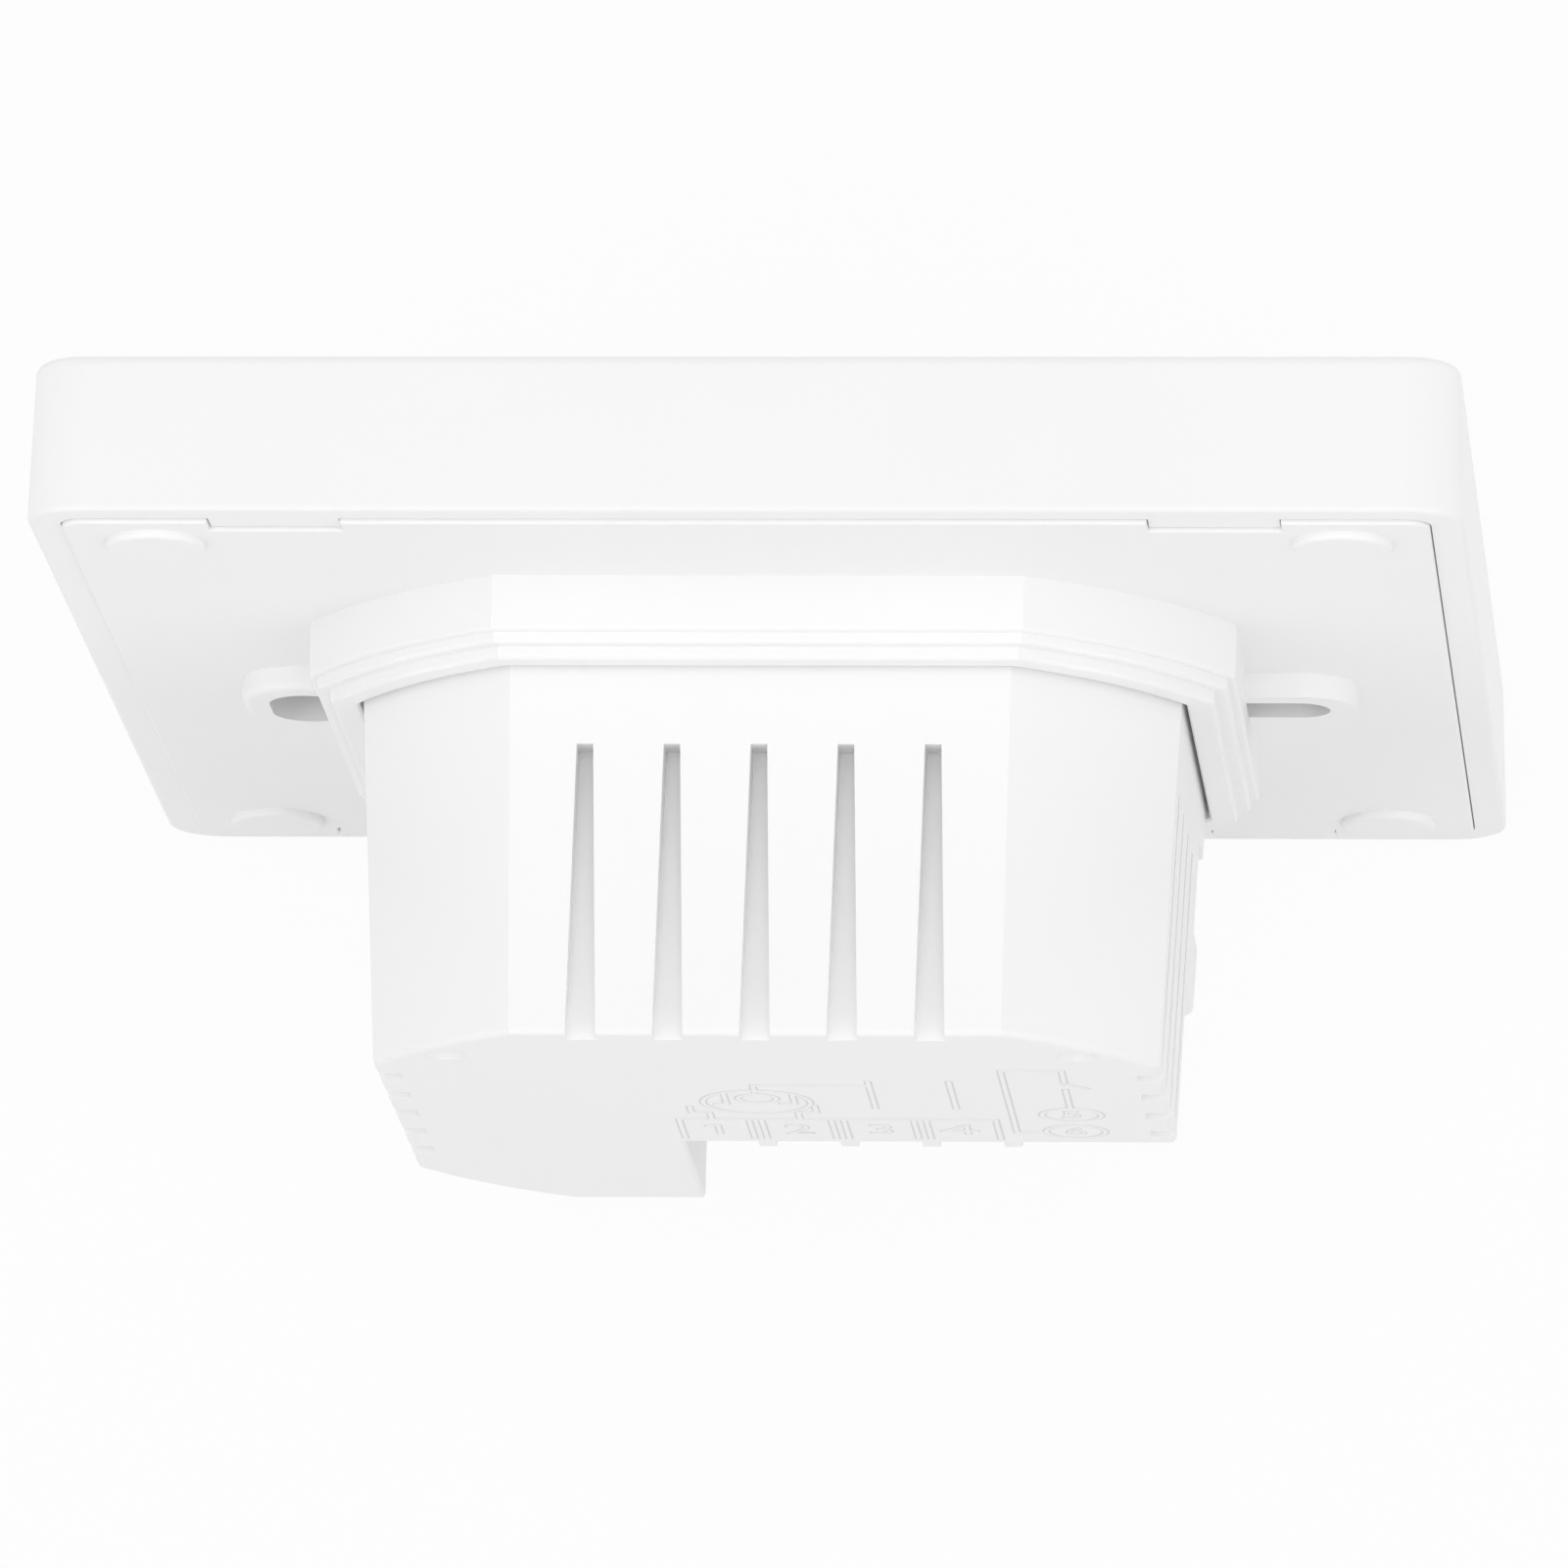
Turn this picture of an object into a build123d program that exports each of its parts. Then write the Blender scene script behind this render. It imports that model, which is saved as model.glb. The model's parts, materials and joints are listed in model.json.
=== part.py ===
from build123d import *
import os
from math import radians, sqrt, tan

# Wall-mounted room thermostat with a rear housing that sits in the wall box.
# Millimetres. X runs right as seen from the room, Y runs into the wall, Z is up.
# The origin is midway between the two wall screws, in the plane of the shell's rear rim.

# Front shell
face_side = 86.0  # outer side of the square shell at its rear rim
shell_depth = 9.7  # rear rim to front face
shell_corner = 3.5  # corner radius of the outline
shell_draft = 1.83  # degrees that the sides lean in towards the room
shell_rim = 2.0  # wall thickness at the rear rim
shell_edge = 0.7  # radius round the front face
shell_rear_edge = 0.3
shell_skin = 1.2  # front wall behind the touch panel
vent_width = 1.4  # slots for room air under the sensor
vent_length = 3.0
vent_pitch = 3.2
vent_count = 5
pry_width = 8.0  # slot in the bottom rim for a screwdriver
pry_depth = 1.2

# Touch panel and its five keys
panel_thickness = 1.5
panel_border = 2.2  # shell left showing round the panel
panel_corner = 1.6
panel_edge = 0.3
panel_gap = 0.1
key_radius = 2.6
key_pitch = 13.0
key_count = 5
key_height = -28.0  # of the key row, from the middle of the face
key_gap = 0.4

# Display
lcd_width = 56.0
lcd_height = 44.0
lcd_plate = 0.75  # each of the two glass plates
lcd_ledge = 2.2  # contact ledge along the top and bottom
lcd_centre = 7.0
lcd_gap = 0.3
light_guide_depth = 1.4
light_guide_inset = 2.0
strip_width = 1.5
strip_inset = 3.0
frame_lip = 1.6
fit_gap = 0.1  # between parts that drop into a frame or seat

# Display board and what it carries
board_thickness = 1.2
board_gap = 0.5
boss_radius = 2.6
boss_inset = 6.5  # boss centre from the inside of the shell's walls
wifi_width = 24.0
wifi_height = 16.0
wifi_board_depth = 0.8
half_hole_pitch = 2.0  # of the solder half-holes along both edges
half_hole_count = 7
half_hole_radius = 0.45
wifi_x = 0.0
wifi_z = 11.0
shield_width = 15.5
shield_height = 13.0
shield_depth = 2.2
chip_side = 10.0
chip_depth = 1.4
chip_x = -12.0
chip_z = -8.0
sensor_x = 14.0  # vents clear of the tongues and of the screwdriver slot
sensor_z = -36.4
sensor_radius = 0.95
sensor_round = 0.57
sensor_lead_radius = 0.25
sensor_lead_pitch = 0.9
sensor_lead_length = 3.4
header_pitch = 2.54
header_columns = 5
header_rows = 2
header_x = 9.0
header_z = -8.0
header_depth = 2.5
pin_radius = 0.32
pin_engagement = 4.0  # how far the pins reach into the socket
pin_gap = 0.1  # round each pin in the socket
socket_wall = 0.3

# Mounting plate
plate_thickness = 2.0
plate_proud = 0.3  # rear face of the plate behind the shell's rim
plate_gap = 0.08  # to the shell's rim all round
plate_edge = 0.15
notch_width = 8.0
notch_depth = 1.9
notch_spacing = 56.2  # between the two notches of one side
tongue_gap = 0.08
pad_radius = 3.0
pad_height = 0.5
pad_edge = 0.3
pad_inset_x = 5.3
pad_inset_z = 4.5
screw_spacing = 60.0  # standard wall box
slot_length = 6.8
upright_slot_width = 4.6
level_slot_width = 3.7
ear_height = 1.5
ear_rim = 1.7
ear_edge = 0.5

# Stepped collar round the rear housing
collar_gap = 0.3  # to the drafted housing, the same from the plate to the rim
collar_rim = 1.45
collar_upper_ledge = 0.8
collar_lower_ledge = 0.5
collar_height = 5.2  # of the rim, from the shell's rear rim
collar_upper_height = 4.4
collar_lower_height = 3.7
collar_edge = 0.25
collar_mouth_edge = 0.15

# Rear housing
housing_half = 25.25  # half of the square at the mounting plate
housing_radius = 29.5  # circle that cuts its corners, for a round wall box
housing_depth = 27.7  # to the label face
housing_draft = 2.8
housing_wall = 1.6
housing_edge = 0.4
flange_width = 1.8
flange_thickness = 1.5
tab_radius = 2.6
groove_count = 5
groove_pitch = 5.27
groove_start = 9.9
groove_narrow = 1.0
groove_wide = 1.86
groove_floor = 22.4  # from the housing's axis
groove_backing = 1.4
side_groove_rise = 1.1
recess_top = -6.9  # the terminal recess lies below this
recess_floor = 17.8
recess_edge = 0.6
rib_width = 1.1
rib_reach = 2.05  # at the label face
rib_foot = 3.8  # at the recess floor
rib_drop = 0.2  # rib's end below the label face
pocket_depth = 0.7
pocket_start = 7.7
pocket_length = 5.8
pocket_top = -10.6
pocket_height = 5.4
dimple_radius = 1.3
dimple_depth = 0.5
dimple_x = 19.2
dimple_z = 18.0

# Power board
power_board_front = 5.0
power_board_thickness = 1.6
power_board_gap = 0.35
post_radius = 1.9
post_inset = 2.7  # of two posts, from the housing's side walls
post_right_z = 8.0
post_left_z = 12.0
corner_post_inset = 5.6  # of the third post, from the side wall and from the bottom wall

# Screws that hold boards and housing
board_screw_radius = 0.9
board_screw_length = 3.4
board_screw_head = 1.9
board_screw_head_depth = 1.0
board_screw_edge = 0.35
recess_arm = 1.9  # cross recess of the heads
recess_slot = 0.45
recess_depth = 0.6
power_screw_length = 6.0
housing_screw_length = 5.4
housing_screw_head = 1.7
pilot_gap = 0.05
hole_gap = 0.2

# Terminals. A captive screw turns in the block and lifts its cage.
neck_depth = 1.0
head_depth = 2.0
head_sink = 0.6
head_gap = 0.1
head_slot_width = 0.7
head_slot_depth = 0.9
cage_height = 5.2
cage_top = 1.6
cage_floor = 0.8
cage_side = 0.55
cage_gap = 0.12
cage_edge = 0.25
thread_gap = 0.05
bar_thickness = 0.7
bar_gap = 0.1
bar_tail = 2.4
tail_radius = 0.5
tail_reach = 1.2  # of the contact's tail beyond the power board
block_gap = 0.15
barrier_width = 0.9
barrier_height = 1.6
wire_width_gap = 0.5
entry_height = 3.6
entry_taper = 8
window_web = 1.0  # between two wire windows of the housing
window_margin = 0.4

mains_pitch = 5.08
mains_count = 4
mains_depth = 11.0
mains_screw_radius = 1.5
mains_head_radius = 1.9
mains_cage_width = 3.8
mains_cage_depth = 4.2
mains_front_wall = 2.0

contact_pitch = 3.81
contact_count = 2
contact_wall_gap = 0.75  # to the housing's side wall
contact_corner_gap = 0.3  # to the rounded corner inside the housing
contact_spacing = 0.7  # to the mains block
contact_depth = 6.5
contact_screw_radius = 1.0
contact_head_radius = 1.35
contact_cage_width = 2.8
contact_cage_depth = 3.0
contact_front_wall = 0.9

# Parts on the power board: across, up, out from the board
relay_size = (18.2, 10.2, 15.3)
relay_x = -9.4
valve_relay_z = 0.3
contact_relay_z = 11.1
case_corner = 0.5
transformer_x = 10.2
transformer_z = 3.5
core_width = 15.0
core_length = 13.0
core_depth = 4.5
core_leg = 4.0
core_yoke = 2.5
winding_wall = 2.9
winding_corner = 1.5
bobbin_width = 14.0
bobbin_base = 2.4
can_radius = 4.0
can_length = 12.0
can_places = [(6.0, 16.2), (14.9, 15.2)]
film_size = (12.0, 5.0, 11.0)
film_x = 14.7
film_z = -6.4
varistor_radius = 4.4
varistor_depth = 3.5
varistor_x = 13.2
varistor_z = -13.0
lead_radius = 0.4
lead_pitch = 5.0
lead_height = 1.2
fuse_size = (7.6, 4.0, 7.5)
fuse_x = 11.6
fuse_inset = 4.5  # from the housing's bottom wall
converter_size = (5.0, 4.0, 1.5)
converter_x = -8.0
converter_spacing = 10.0

# Depths worked out from the sizes above
panel_rear = panel_thickness - shell_depth
skin_rear = panel_rear + shell_skin
lcd_front = panel_rear + fit_gap
lcd_rear = lcd_front + 2 * lcd_plate
board_front = lcd_rear + light_guide_depth
board_rear = board_front + board_thickness
plate_rear = plate_proud
plate_front = plate_rear - plate_thickness
flange_rear = plate_front
flange_front = flange_rear - flange_thickness
power_board_rear = power_board_front + power_board_thickness

# Half sizes of the square outlines
inner_half = face_side / 2 - shell_rim
panel_half = face_side / 2 - shell_depth * tan(radians(shell_draft)) - panel_border
plate_half = inner_half - plate_gap
tongue_depth = plate_gap + notch_depth - tongue_gap
board_half = inner_half - tongue_depth - board_gap
boss_place = inner_half - boss_inset
draft_rate = tan(radians(housing_draft))
bore_half = housing_half + collar_gap
bore_radius = housing_radius + collar_gap
collar_width = collar_rim + collar_upper_ledge + collar_lower_ledge
housing_screw_circle = bore_radius + collar_width / 2

# Heights inside each terminal, from the recess floor down
head_seat = recess_floor - head_sink - head_depth
roof = head_seat - neck_depth
cage_travel = cage_height - cage_top - cage_floor - bar_thickness - 2 * bar_gap
cage_rest_top = roof - bar_gap - cage_travel
cage_rest_bottom = cage_rest_top - cage_height
bar_rear = cage_rest_top - cage_top - bar_gap
bar_front = bar_rear - bar_thickness
entry_middle = (cage_rest_bottom + cage_floor + bar_front) / 2
tail_length = bar_front - power_board_front + tail_reach


def at(y):
    """Sketch plane that faces the room at depth y: a negative amount goes into the wall."""
    return Plane.XZ.offset(-y)


def half_at(y):
    """Half of the housing's square at depth y."""
    return housing_half - y * draft_rate


def radius_at(y):
    """Radius of the circle that cuts the housing's corners at depth y."""
    return housing_radius - y * draft_rate


def cut_square(half, radius):
    """Draws the housing's outline, a square whose corners a circle cuts off."""
    Rectangle(2 * half, 2 * half)
    Circle(radius, mode=Mode.INTERSECT)


def terminal_places(count, pitch, left, front, front_wall, cage_depth):
    """Screw axes of one block, from its left end towards -X."""
    z = front + front_wall + cage_depth / 2
    return [(left - (index + 0.5) * pitch, z) for index in range(count)]


# Terminal blocks: the smaller one stands in the corner, the larger one beside it
inner_side = half_at(recess_floor) - housing_wall
inner_radius = radius_at(recess_floor) - housing_wall
mains_front = block_gap - inner_side
contact_end = contact_wall_gap - inner_side
contact_front = -sqrt((inner_radius - contact_corner_gap) ** 2 - contact_end ** 2)
contact_left = contact_end + contact_count * contact_pitch
recess_left = contact_left + contact_spacing + mains_count * mains_pitch
board_room = half_at(power_board_rear) - housing_wall
post_places = [
    (board_room - post_inset, post_right_z),
    (post_inset - board_room, post_left_z),
    (board_room - corner_post_inset, corner_post_inset - board_room),
]
mains_places = terminal_places(
    mains_count, mains_pitch, recess_left, mains_front, mains_front_wall, mains_cage_depth)
contact_places = terminal_places(
    contact_count, contact_pitch, contact_left, contact_front, contact_front_wall, contact_cage_depth)
key_places = [((index - (key_count - 1) / 2) * key_pitch, key_height) for index in range(key_count)]
boss_places = [(side * boss_place, rise * boss_place) for side in (-1, 1) for rise in (-1, 1)]
notch_places = [(side * notch_spacing / 2, rise) for side in (-1, 1) for rise in (-1, 1)]


def finish(part, label):
    """Labels a finished piece and writes its file."""
    part.label = label
    export_step(part, f"parts/{label}.step")


os.makedirs("parts", exist_ok=True)

# Front shell: a drafted tray whose front wall carries the panel
with BuildPart() as front_shell:
    with BuildSketch(at(0)):
        RectangleRounded(face_side, face_side, shell_corner)
    extrude(amount=shell_depth, taper=shell_draft)
    fillet(front_shell.faces().sort_by(Axis.Y)[0].edges(), shell_edge)
    fillet(front_shell.faces().sort_by(Axis.Y)[-1].edges(), shell_rear_edge)
    with BuildSketch(at(0)):
        RectangleRounded(2 * inner_half, 2 * inner_half, shell_corner - shell_rim)
    extrude(amount=-skin_rear, mode=Mode.SUBTRACT)
    with BuildSketch(at(panel_rear)):
        side = 2 * (panel_half + panel_gap)
        RectangleRounded(side, side, panel_corner + panel_gap)
    extrude(amount=panel_thickness, mode=Mode.SUBTRACT)
    with BuildSketch(at(skin_rear)):
        with Locations((0, lcd_centre)):
            Rectangle(lcd_width + 2 * lcd_gap, lcd_height + 2 * lcd_gap)
        with Locations(key_places):
            Circle(key_radius + key_gap)
    extrude(amount=shell_skin, mode=Mode.SUBTRACT)
    # Bosses for the display board
    with BuildSketch(at(board_front)):
        with Locations(boss_places):
            Circle(boss_radius)
    extrude(amount=board_front - skin_rear)
    with BuildSketch(at(board_front)):
        with Locations(boss_places):
            Circle(board_screw_radius + pilot_gap)
    extrude(amount=board_screw_length - board_thickness + hole_gap, mode=Mode.SUBTRACT)
    # Tongues that sit in the mounting plate's notches
    with BuildSketch(at(0)):
        with Locations([(x, rise * (inner_half - tongue_depth / 2)) for x, rise in notch_places]):
            Rectangle(notch_width - 2 * tongue_gap, tongue_depth)
    extrude(amount=-skin_rear)
    # Vents under the room sensor and the slot for a screwdriver
    with BuildSketch(Plane.XY.offset(-face_side / 2)):
        with Locations((sensor_x, (board_rear + plate_front) / 2)):
            with GridLocations(vent_pitch, 0, vent_count, 1):
                SlotOverall(vent_length, vent_width, rotation=90)
    extrude(amount=shell_rim, mode=Mode.SUBTRACT)
    with BuildSketch(at(0)):
        with Locations((0, -(inner_half + shell_rim / 2))):
            Rectangle(pry_width, shell_rim)
    extrude(amount=pry_depth, mode=Mode.SUBTRACT)
finish(front_shell.part, "front_shell")

with BuildPart() as touch_panel:
    with BuildSketch(at(panel_rear)):
        RectangleRounded(2 * panel_half, 2 * panel_half, panel_corner)
    extrude(amount=panel_thickness)
    chamfer(touch_panel.faces().sort_by(Axis.Y)[0].edges(), panel_edge)
finish(touch_panel.part, "touch_panel")

# Display: two glass plates, the front one with a contact ledge at top and bottom
with BuildPart() as lcd_glass:
    with BuildSketch(at(lcd_front)):
        with Locations((0, lcd_centre)):
            Rectangle(lcd_width, lcd_height)
    extrude(amount=-lcd_plate)
    with BuildSketch(at(lcd_front + lcd_plate)):
        with Locations((0, lcd_centre)):
            Rectangle(lcd_width, lcd_height - 2 * lcd_ledge)
    extrude(amount=-lcd_plate)
finish(lcd_glass.part, "lcd_glass")

guide_width = lcd_width - 2 * light_guide_inset
guide_height = lcd_height - 2 * lcd_ledge - light_guide_inset / 2
strip_length = lcd_width - 2 * strip_inset
strip_rise = lcd_height / 2 - lcd_ledge / 2

with BuildPart() as light_guide:
    with BuildSketch(at(lcd_rear)):
        with Locations((0, lcd_centre)):
            Rectangle(guide_width, guide_height)
    extrude(amount=-light_guide_depth)
finish(light_guide.part, "light_guide")

with BuildPart() as lcd_frame:
    with BuildSketch(at(lcd_rear)):
        with Locations((0, lcd_centre)):
            RectangleRounded(lcd_width + 2 * frame_lip, lcd_height + 2 * frame_lip, frame_lip / 2)
            Rectangle(guide_width + 2 * fit_gap, guide_height + 2 * fit_gap, mode=Mode.SUBTRACT)
        with Locations((0, lcd_centre - strip_rise), (0, lcd_centre + strip_rise)):
            Rectangle(strip_length + 2 * fit_gap, strip_width + 2 * fit_gap, mode=Mode.SUBTRACT)
    extrude(amount=-light_guide_depth)
finish(lcd_frame.part, "lcd_frame")

for place, rise in (("top", strip_rise), ("bottom", -strip_rise)):
    with BuildPart() as zebra_strip:
        with BuildSketch(at(lcd_front + lcd_plate)):
            with Locations((0, lcd_centre + rise)):
                Rectangle(strip_length, strip_width)
        extrude(amount=-(lcd_plate + light_guide_depth))
    finish(zebra_strip.part, f"zebra_strip_{place}")

# Conductive foam pads between the board and the panel, one under each touch key
with BuildPart() as key_pads:
    with BuildSketch(at(board_front)):
        with Locations(key_places):
            Circle(key_radius)
    extrude(amount=board_front - panel_rear)
finish(key_pads.part, "key_pads")

with BuildPart() as display_board:
    with BuildSketch(at(board_rear)):
        RectangleRounded(2 * board_half, 2 * board_half, shell_corner - shell_rim)
        with Locations(boss_places):
            Circle(board_screw_radius + hole_gap, mode=Mode.SUBTRACT)
    extrude(amount=board_thickness)
finish(display_board.part, "display_board")


def drive_cross():
    """Draws the cross recess of a small screw."""
    Rectangle(recess_arm, recess_slot)
    Rectangle(recess_slot, recess_arm)


def pan_screws(places, seat, length):
    """Small pan-head screws, driven from the wall side, or from the room side if length is negative."""
    direction = 1 if length > 0 else -1
    with BuildPart() as screws:
        with BuildSketch(at(seat)):
            with Locations(places):
                Circle(board_screw_head)
        extrude(amount=-direction * board_screw_head_depth)
        fillet(screws.edges().filter_by(GeomType.CIRCLE).group_by(Axis.Y)[-1 if direction > 0 else 0],
               board_screw_edge)
        with BuildSketch(at(seat + direction * board_screw_head_depth)):
            with Locations(places):
                drive_cross()
        extrude(amount=direction * recess_depth, mode=Mode.SUBTRACT)
        with BuildSketch(at(seat)):
            with Locations(places):
                Circle(board_screw_radius)
        extrude(amount=length)
    return screws.part


finish(pan_screws(boss_places, board_rear, board_screw_length), "display_board_screws")

with BuildPart() as wifi_board:
    with BuildSketch(at(board_rear)):
        with Locations((wifi_x, wifi_z)):
            Rectangle(wifi_width, wifi_height)
            with Locations((-wifi_width / 2, 0), (wifi_width / 2, 0)):
                with GridLocations(0, half_hole_pitch, 1, half_hole_count):
                    Circle(half_hole_radius, mode=Mode.SUBTRACT)
    extrude(amount=-wifi_board_depth)
finish(wifi_board.part, "wifi_board")

with BuildPart() as wifi_shield:
    with BuildSketch(at(board_rear + wifi_board_depth)):
        with Locations((wifi_x - (wifi_width - shield_width) / 4, wifi_z)):
            RectangleRounded(shield_width, shield_height, chip_depth / 2)
    extrude(amount=-shield_depth)
    fillet(wifi_shield.faces().sort_by(Axis.Y)[-1].edges(), shield_depth / 8)
finish(wifi_shield.part, "wifi_shield")

with BuildPart() as controller_chip:
    with BuildSketch(at(board_rear)):
        with Locations((chip_x, chip_z)):
            Rectangle(chip_side, chip_side)
    extrude(amount=-chip_depth)
    chamfer(controller_chip.faces().sort_by(Axis.Y)[-1].edges(), chip_depth / 6)
finish(controller_chip.part, "controller_chip")

# Thermistor bead on two bent leads, hanging over the vents
sensor_y = board_rear + sensor_radius + fit_gap
with BuildPart() as room_sensor:
    with BuildSketch(Plane.XY.offset(sensor_z - sensor_radius)):
        with Locations((sensor_x, sensor_y)):
            Circle(sensor_radius)
    extrude(amount=2 * sensor_radius)
    fillet(room_sensor.edges().filter_by(GeomType.CIRCLE), sensor_round)
    for side in (-1, 1):
        lead_x = sensor_x + side * sensor_lead_pitch / 2
        with BuildLine() as lead:
            FilletPolyline(
                (lead_x, board_rear, sensor_z + sensor_lead_length),
                (lead_x, sensor_y, sensor_z + sensor_lead_length),
                (lead_x, sensor_y, sensor_z),
                radius=2 * sensor_lead_radius,
            )
        with BuildSketch(at(board_rear)):
            with Locations((lead_x, sensor_z + sensor_lead_length)):
                Circle(sensor_lead_radius)
        sweep(path=lead.wires()[0])
finish(room_sensor.part, "room_sensor")

# Pin header on the display board and its socket on the power board
header_width = header_columns * header_pitch
header_height = header_rows * header_pitch
socket_front = power_board_front - pin_engagement - 2 * socket_wall
pin_tip = socket_front + pin_engagement

with BuildPart() as header_base:
    with BuildSketch(at(board_rear)):
        with Locations((header_x, header_z)):
            Rectangle(header_width, header_height)
            with GridLocations(header_pitch, header_pitch, header_columns, header_rows):
                Circle(pin_radius, mode=Mode.SUBTRACT)
    extrude(amount=-header_depth)
finish(header_base.part, "header_base")

with BuildPart() as header_pins:
    with BuildSketch(at(board_rear)):
        with Locations((header_x, header_z)):
            with GridLocations(header_pitch, header_pitch, header_columns, header_rows):
                Circle(pin_radius)
    extrude(amount=-(pin_tip - board_rear))
finish(header_pins.part, "header_pins")

with BuildPart() as board_socket:
    with BuildSketch(at(socket_front)):
        with Locations((header_x, header_z)):
            Rectangle(header_width + 2 * socket_wall, header_height + 2 * socket_wall)
    extrude(amount=-(power_board_front - socket_front))
    with BuildSketch(at(socket_front)):
        with Locations((header_x, header_z)):
            with GridLocations(header_pitch, header_pitch, header_columns, header_rows):
                Circle(pin_radius + pin_gap)
    extrude(amount=-(pin_engagement + socket_wall), mode=Mode.SUBTRACT)
finish(board_socket.part, "board_socket")

# Mounting plate: the stepped collar and the ears stand on its wall side
collar_tiers = [
    (collar_width, collar_lower_height),
    (collar_rim + collar_upper_ledge, collar_upper_height),
    (collar_rim, collar_height),
]
with BuildPart() as mounting_plate:
    with BuildSketch(at(plate_front)):
        RectangleRounded(2 * plate_half, 2 * plate_half, shell_corner - shell_rim - plate_gap)
        with Locations([(x, rise * plate_half) for x, rise in notch_places]):
            Rectangle(notch_width, 2 * notch_depth, mode=Mode.SUBTRACT)
    extrude(amount=-plate_thickness)
    fillet(mounting_plate.faces().sort_by(Axis.Y)[-1].edges(), plate_edge)
    # Ears: one slot stands upright and the other lies level, so that the plate can be trued
    with BuildSketch(at(plate_rear)):
        with Locations((screw_spacing / 2, 0)):
            SlotOverall(slot_length + 2 * ear_rim, upright_slot_width + 2 * ear_rim, rotation=90)
        with Locations((screw_spacing / 2, 0)):
            Rectangle(screw_spacing / 2 - housing_half, slot_length + 2 * ear_rim,
                      align=(Align.MAX, Align.CENTER))
        with Locations((-screw_spacing / 2, 0)):
            SlotOverall(slot_length + 2 * ear_rim, level_slot_width + 2 * ear_rim)
    extrude(amount=-ear_height)
    fillet(mounting_plate.faces().sort_by(Axis.Y)[-1].edges(), ear_edge)
    for width, height in collar_tiers:
        with BuildSketch(at(plate_rear)):
            cut_square(bore_half + width, bore_radius + width)
        extrude(amount=-(height - plate_rear))
        fillet(mounting_plate.faces().sort_by(Axis.Y)[-1].edges(), collar_edge)
    with BuildSketch(at(plate_front)):
        cut_square(bore_half, bore_radius)
    extrude(amount=plate_front, mode=Mode.SUBTRACT)
    with BuildSketch(at(0)):
        cut_square(bore_half, bore_radius)
    extrude(amount=-collar_height, taper=housing_draft, mode=Mode.SUBTRACT)
    chamfer(mounting_plate.faces().sort_by(Axis.Y)[-1].inner_wires()[0].edges(), collar_mouth_edge)
    with BuildSketch(at(plate_front)):
        with Locations((screw_spacing / 2, 0)):
            SlotOverall(slot_length, upright_slot_width, rotation=90)
        with Locations((-screw_spacing / 2, 0)):
            SlotOverall(slot_length, level_slot_width)
    extrude(amount=-(plate_thickness + ear_height), mode=Mode.SUBTRACT)
    with BuildSketch(at(plate_rear)):
        with GridLocations(2 * (plate_half - pad_inset_x), 2 * (plate_half - pad_inset_z), 2, 2):
            Circle(pad_radius)
    extrude(amount=-pad_height)
    fillet(mounting_plate.edges(Select.LAST).group_by(Axis.Y)[-1], pad_edge)
    # Pilot holes for the housing's screws, blind in the collar's corners
    with BuildSketch(at(plate_front)):
        with PolarLocations(housing_screw_circle, 4, start_angle=45):
            Circle(board_screw_radius + pilot_gap)
    extrude(amount=-(housing_screw_length - flange_thickness + hole_gap), mode=Mode.SUBTRACT)
finish(mounting_plate.part, "mounting_plate")

# Room inside the rear housing, kept clear of the terminal recess and the grooves
recess_reach = housing_half + housing_radius
backing_half = groove_floor - groove_backing
groove_margin = groove_wide / 2 + housing_wall
groove_offsets = [(index - (groove_count - 1) / 2) * groove_pitch for index in range(groove_count)]
# The lowest groove of the -X side gives way to the latch pocket
side_grooves = {1: groove_offsets, -1: groove_offsets[1:]}
with BuildPart() as cavity:
    with BuildSketch(at(flange_front)):
        cut_square(housing_half - housing_wall, housing_radius - housing_wall)
    extrude(amount=flange_front)
    with BuildSketch(at(0)):
        cut_square(housing_half - housing_wall, housing_radius - housing_wall)
    extrude(amount=-(housing_depth - housing_wall), taper=housing_draft)
    with BuildSketch(at(recess_floor - housing_wall)):
        with Locations((recess_left + housing_wall, recess_top + housing_wall)):
            Rectangle(recess_reach, recess_reach, align=(Align.MAX, Align.MAX))
    extrude(amount=-(housing_depth - recess_floor), mode=Mode.SUBTRACT)
    with BuildSketch(at(groove_start - housing_wall)):
        with Locations((0, backing_half)):
            Rectangle(2 * (groove_offsets[-1] + groove_margin), housing_half,
                      align=(Align.CENTER, Align.MIN))
        for side, offsets in side_grooves.items():
            with Locations((side * backing_half, side_groove_rise + offsets[0] - groove_margin)):
                Rectangle(housing_half, offsets[-1] - offsets[0] + 2 * groove_margin,
                          align=(Align.MIN if side > 0 else Align.MAX, Align.MIN))
    extrude(amount=-housing_depth, mode=Mode.SUBTRACT)

groove_shape = [
    (groove_start, -groove_narrow / 2),
    (groove_start, groove_narrow / 2),
    (housing_depth, groove_wide / 2),
    (housing_depth, -groove_wide / 2),
]
rib_places = [recess_left - (index + 1) * mains_pitch for index in range(mains_count)]

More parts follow.
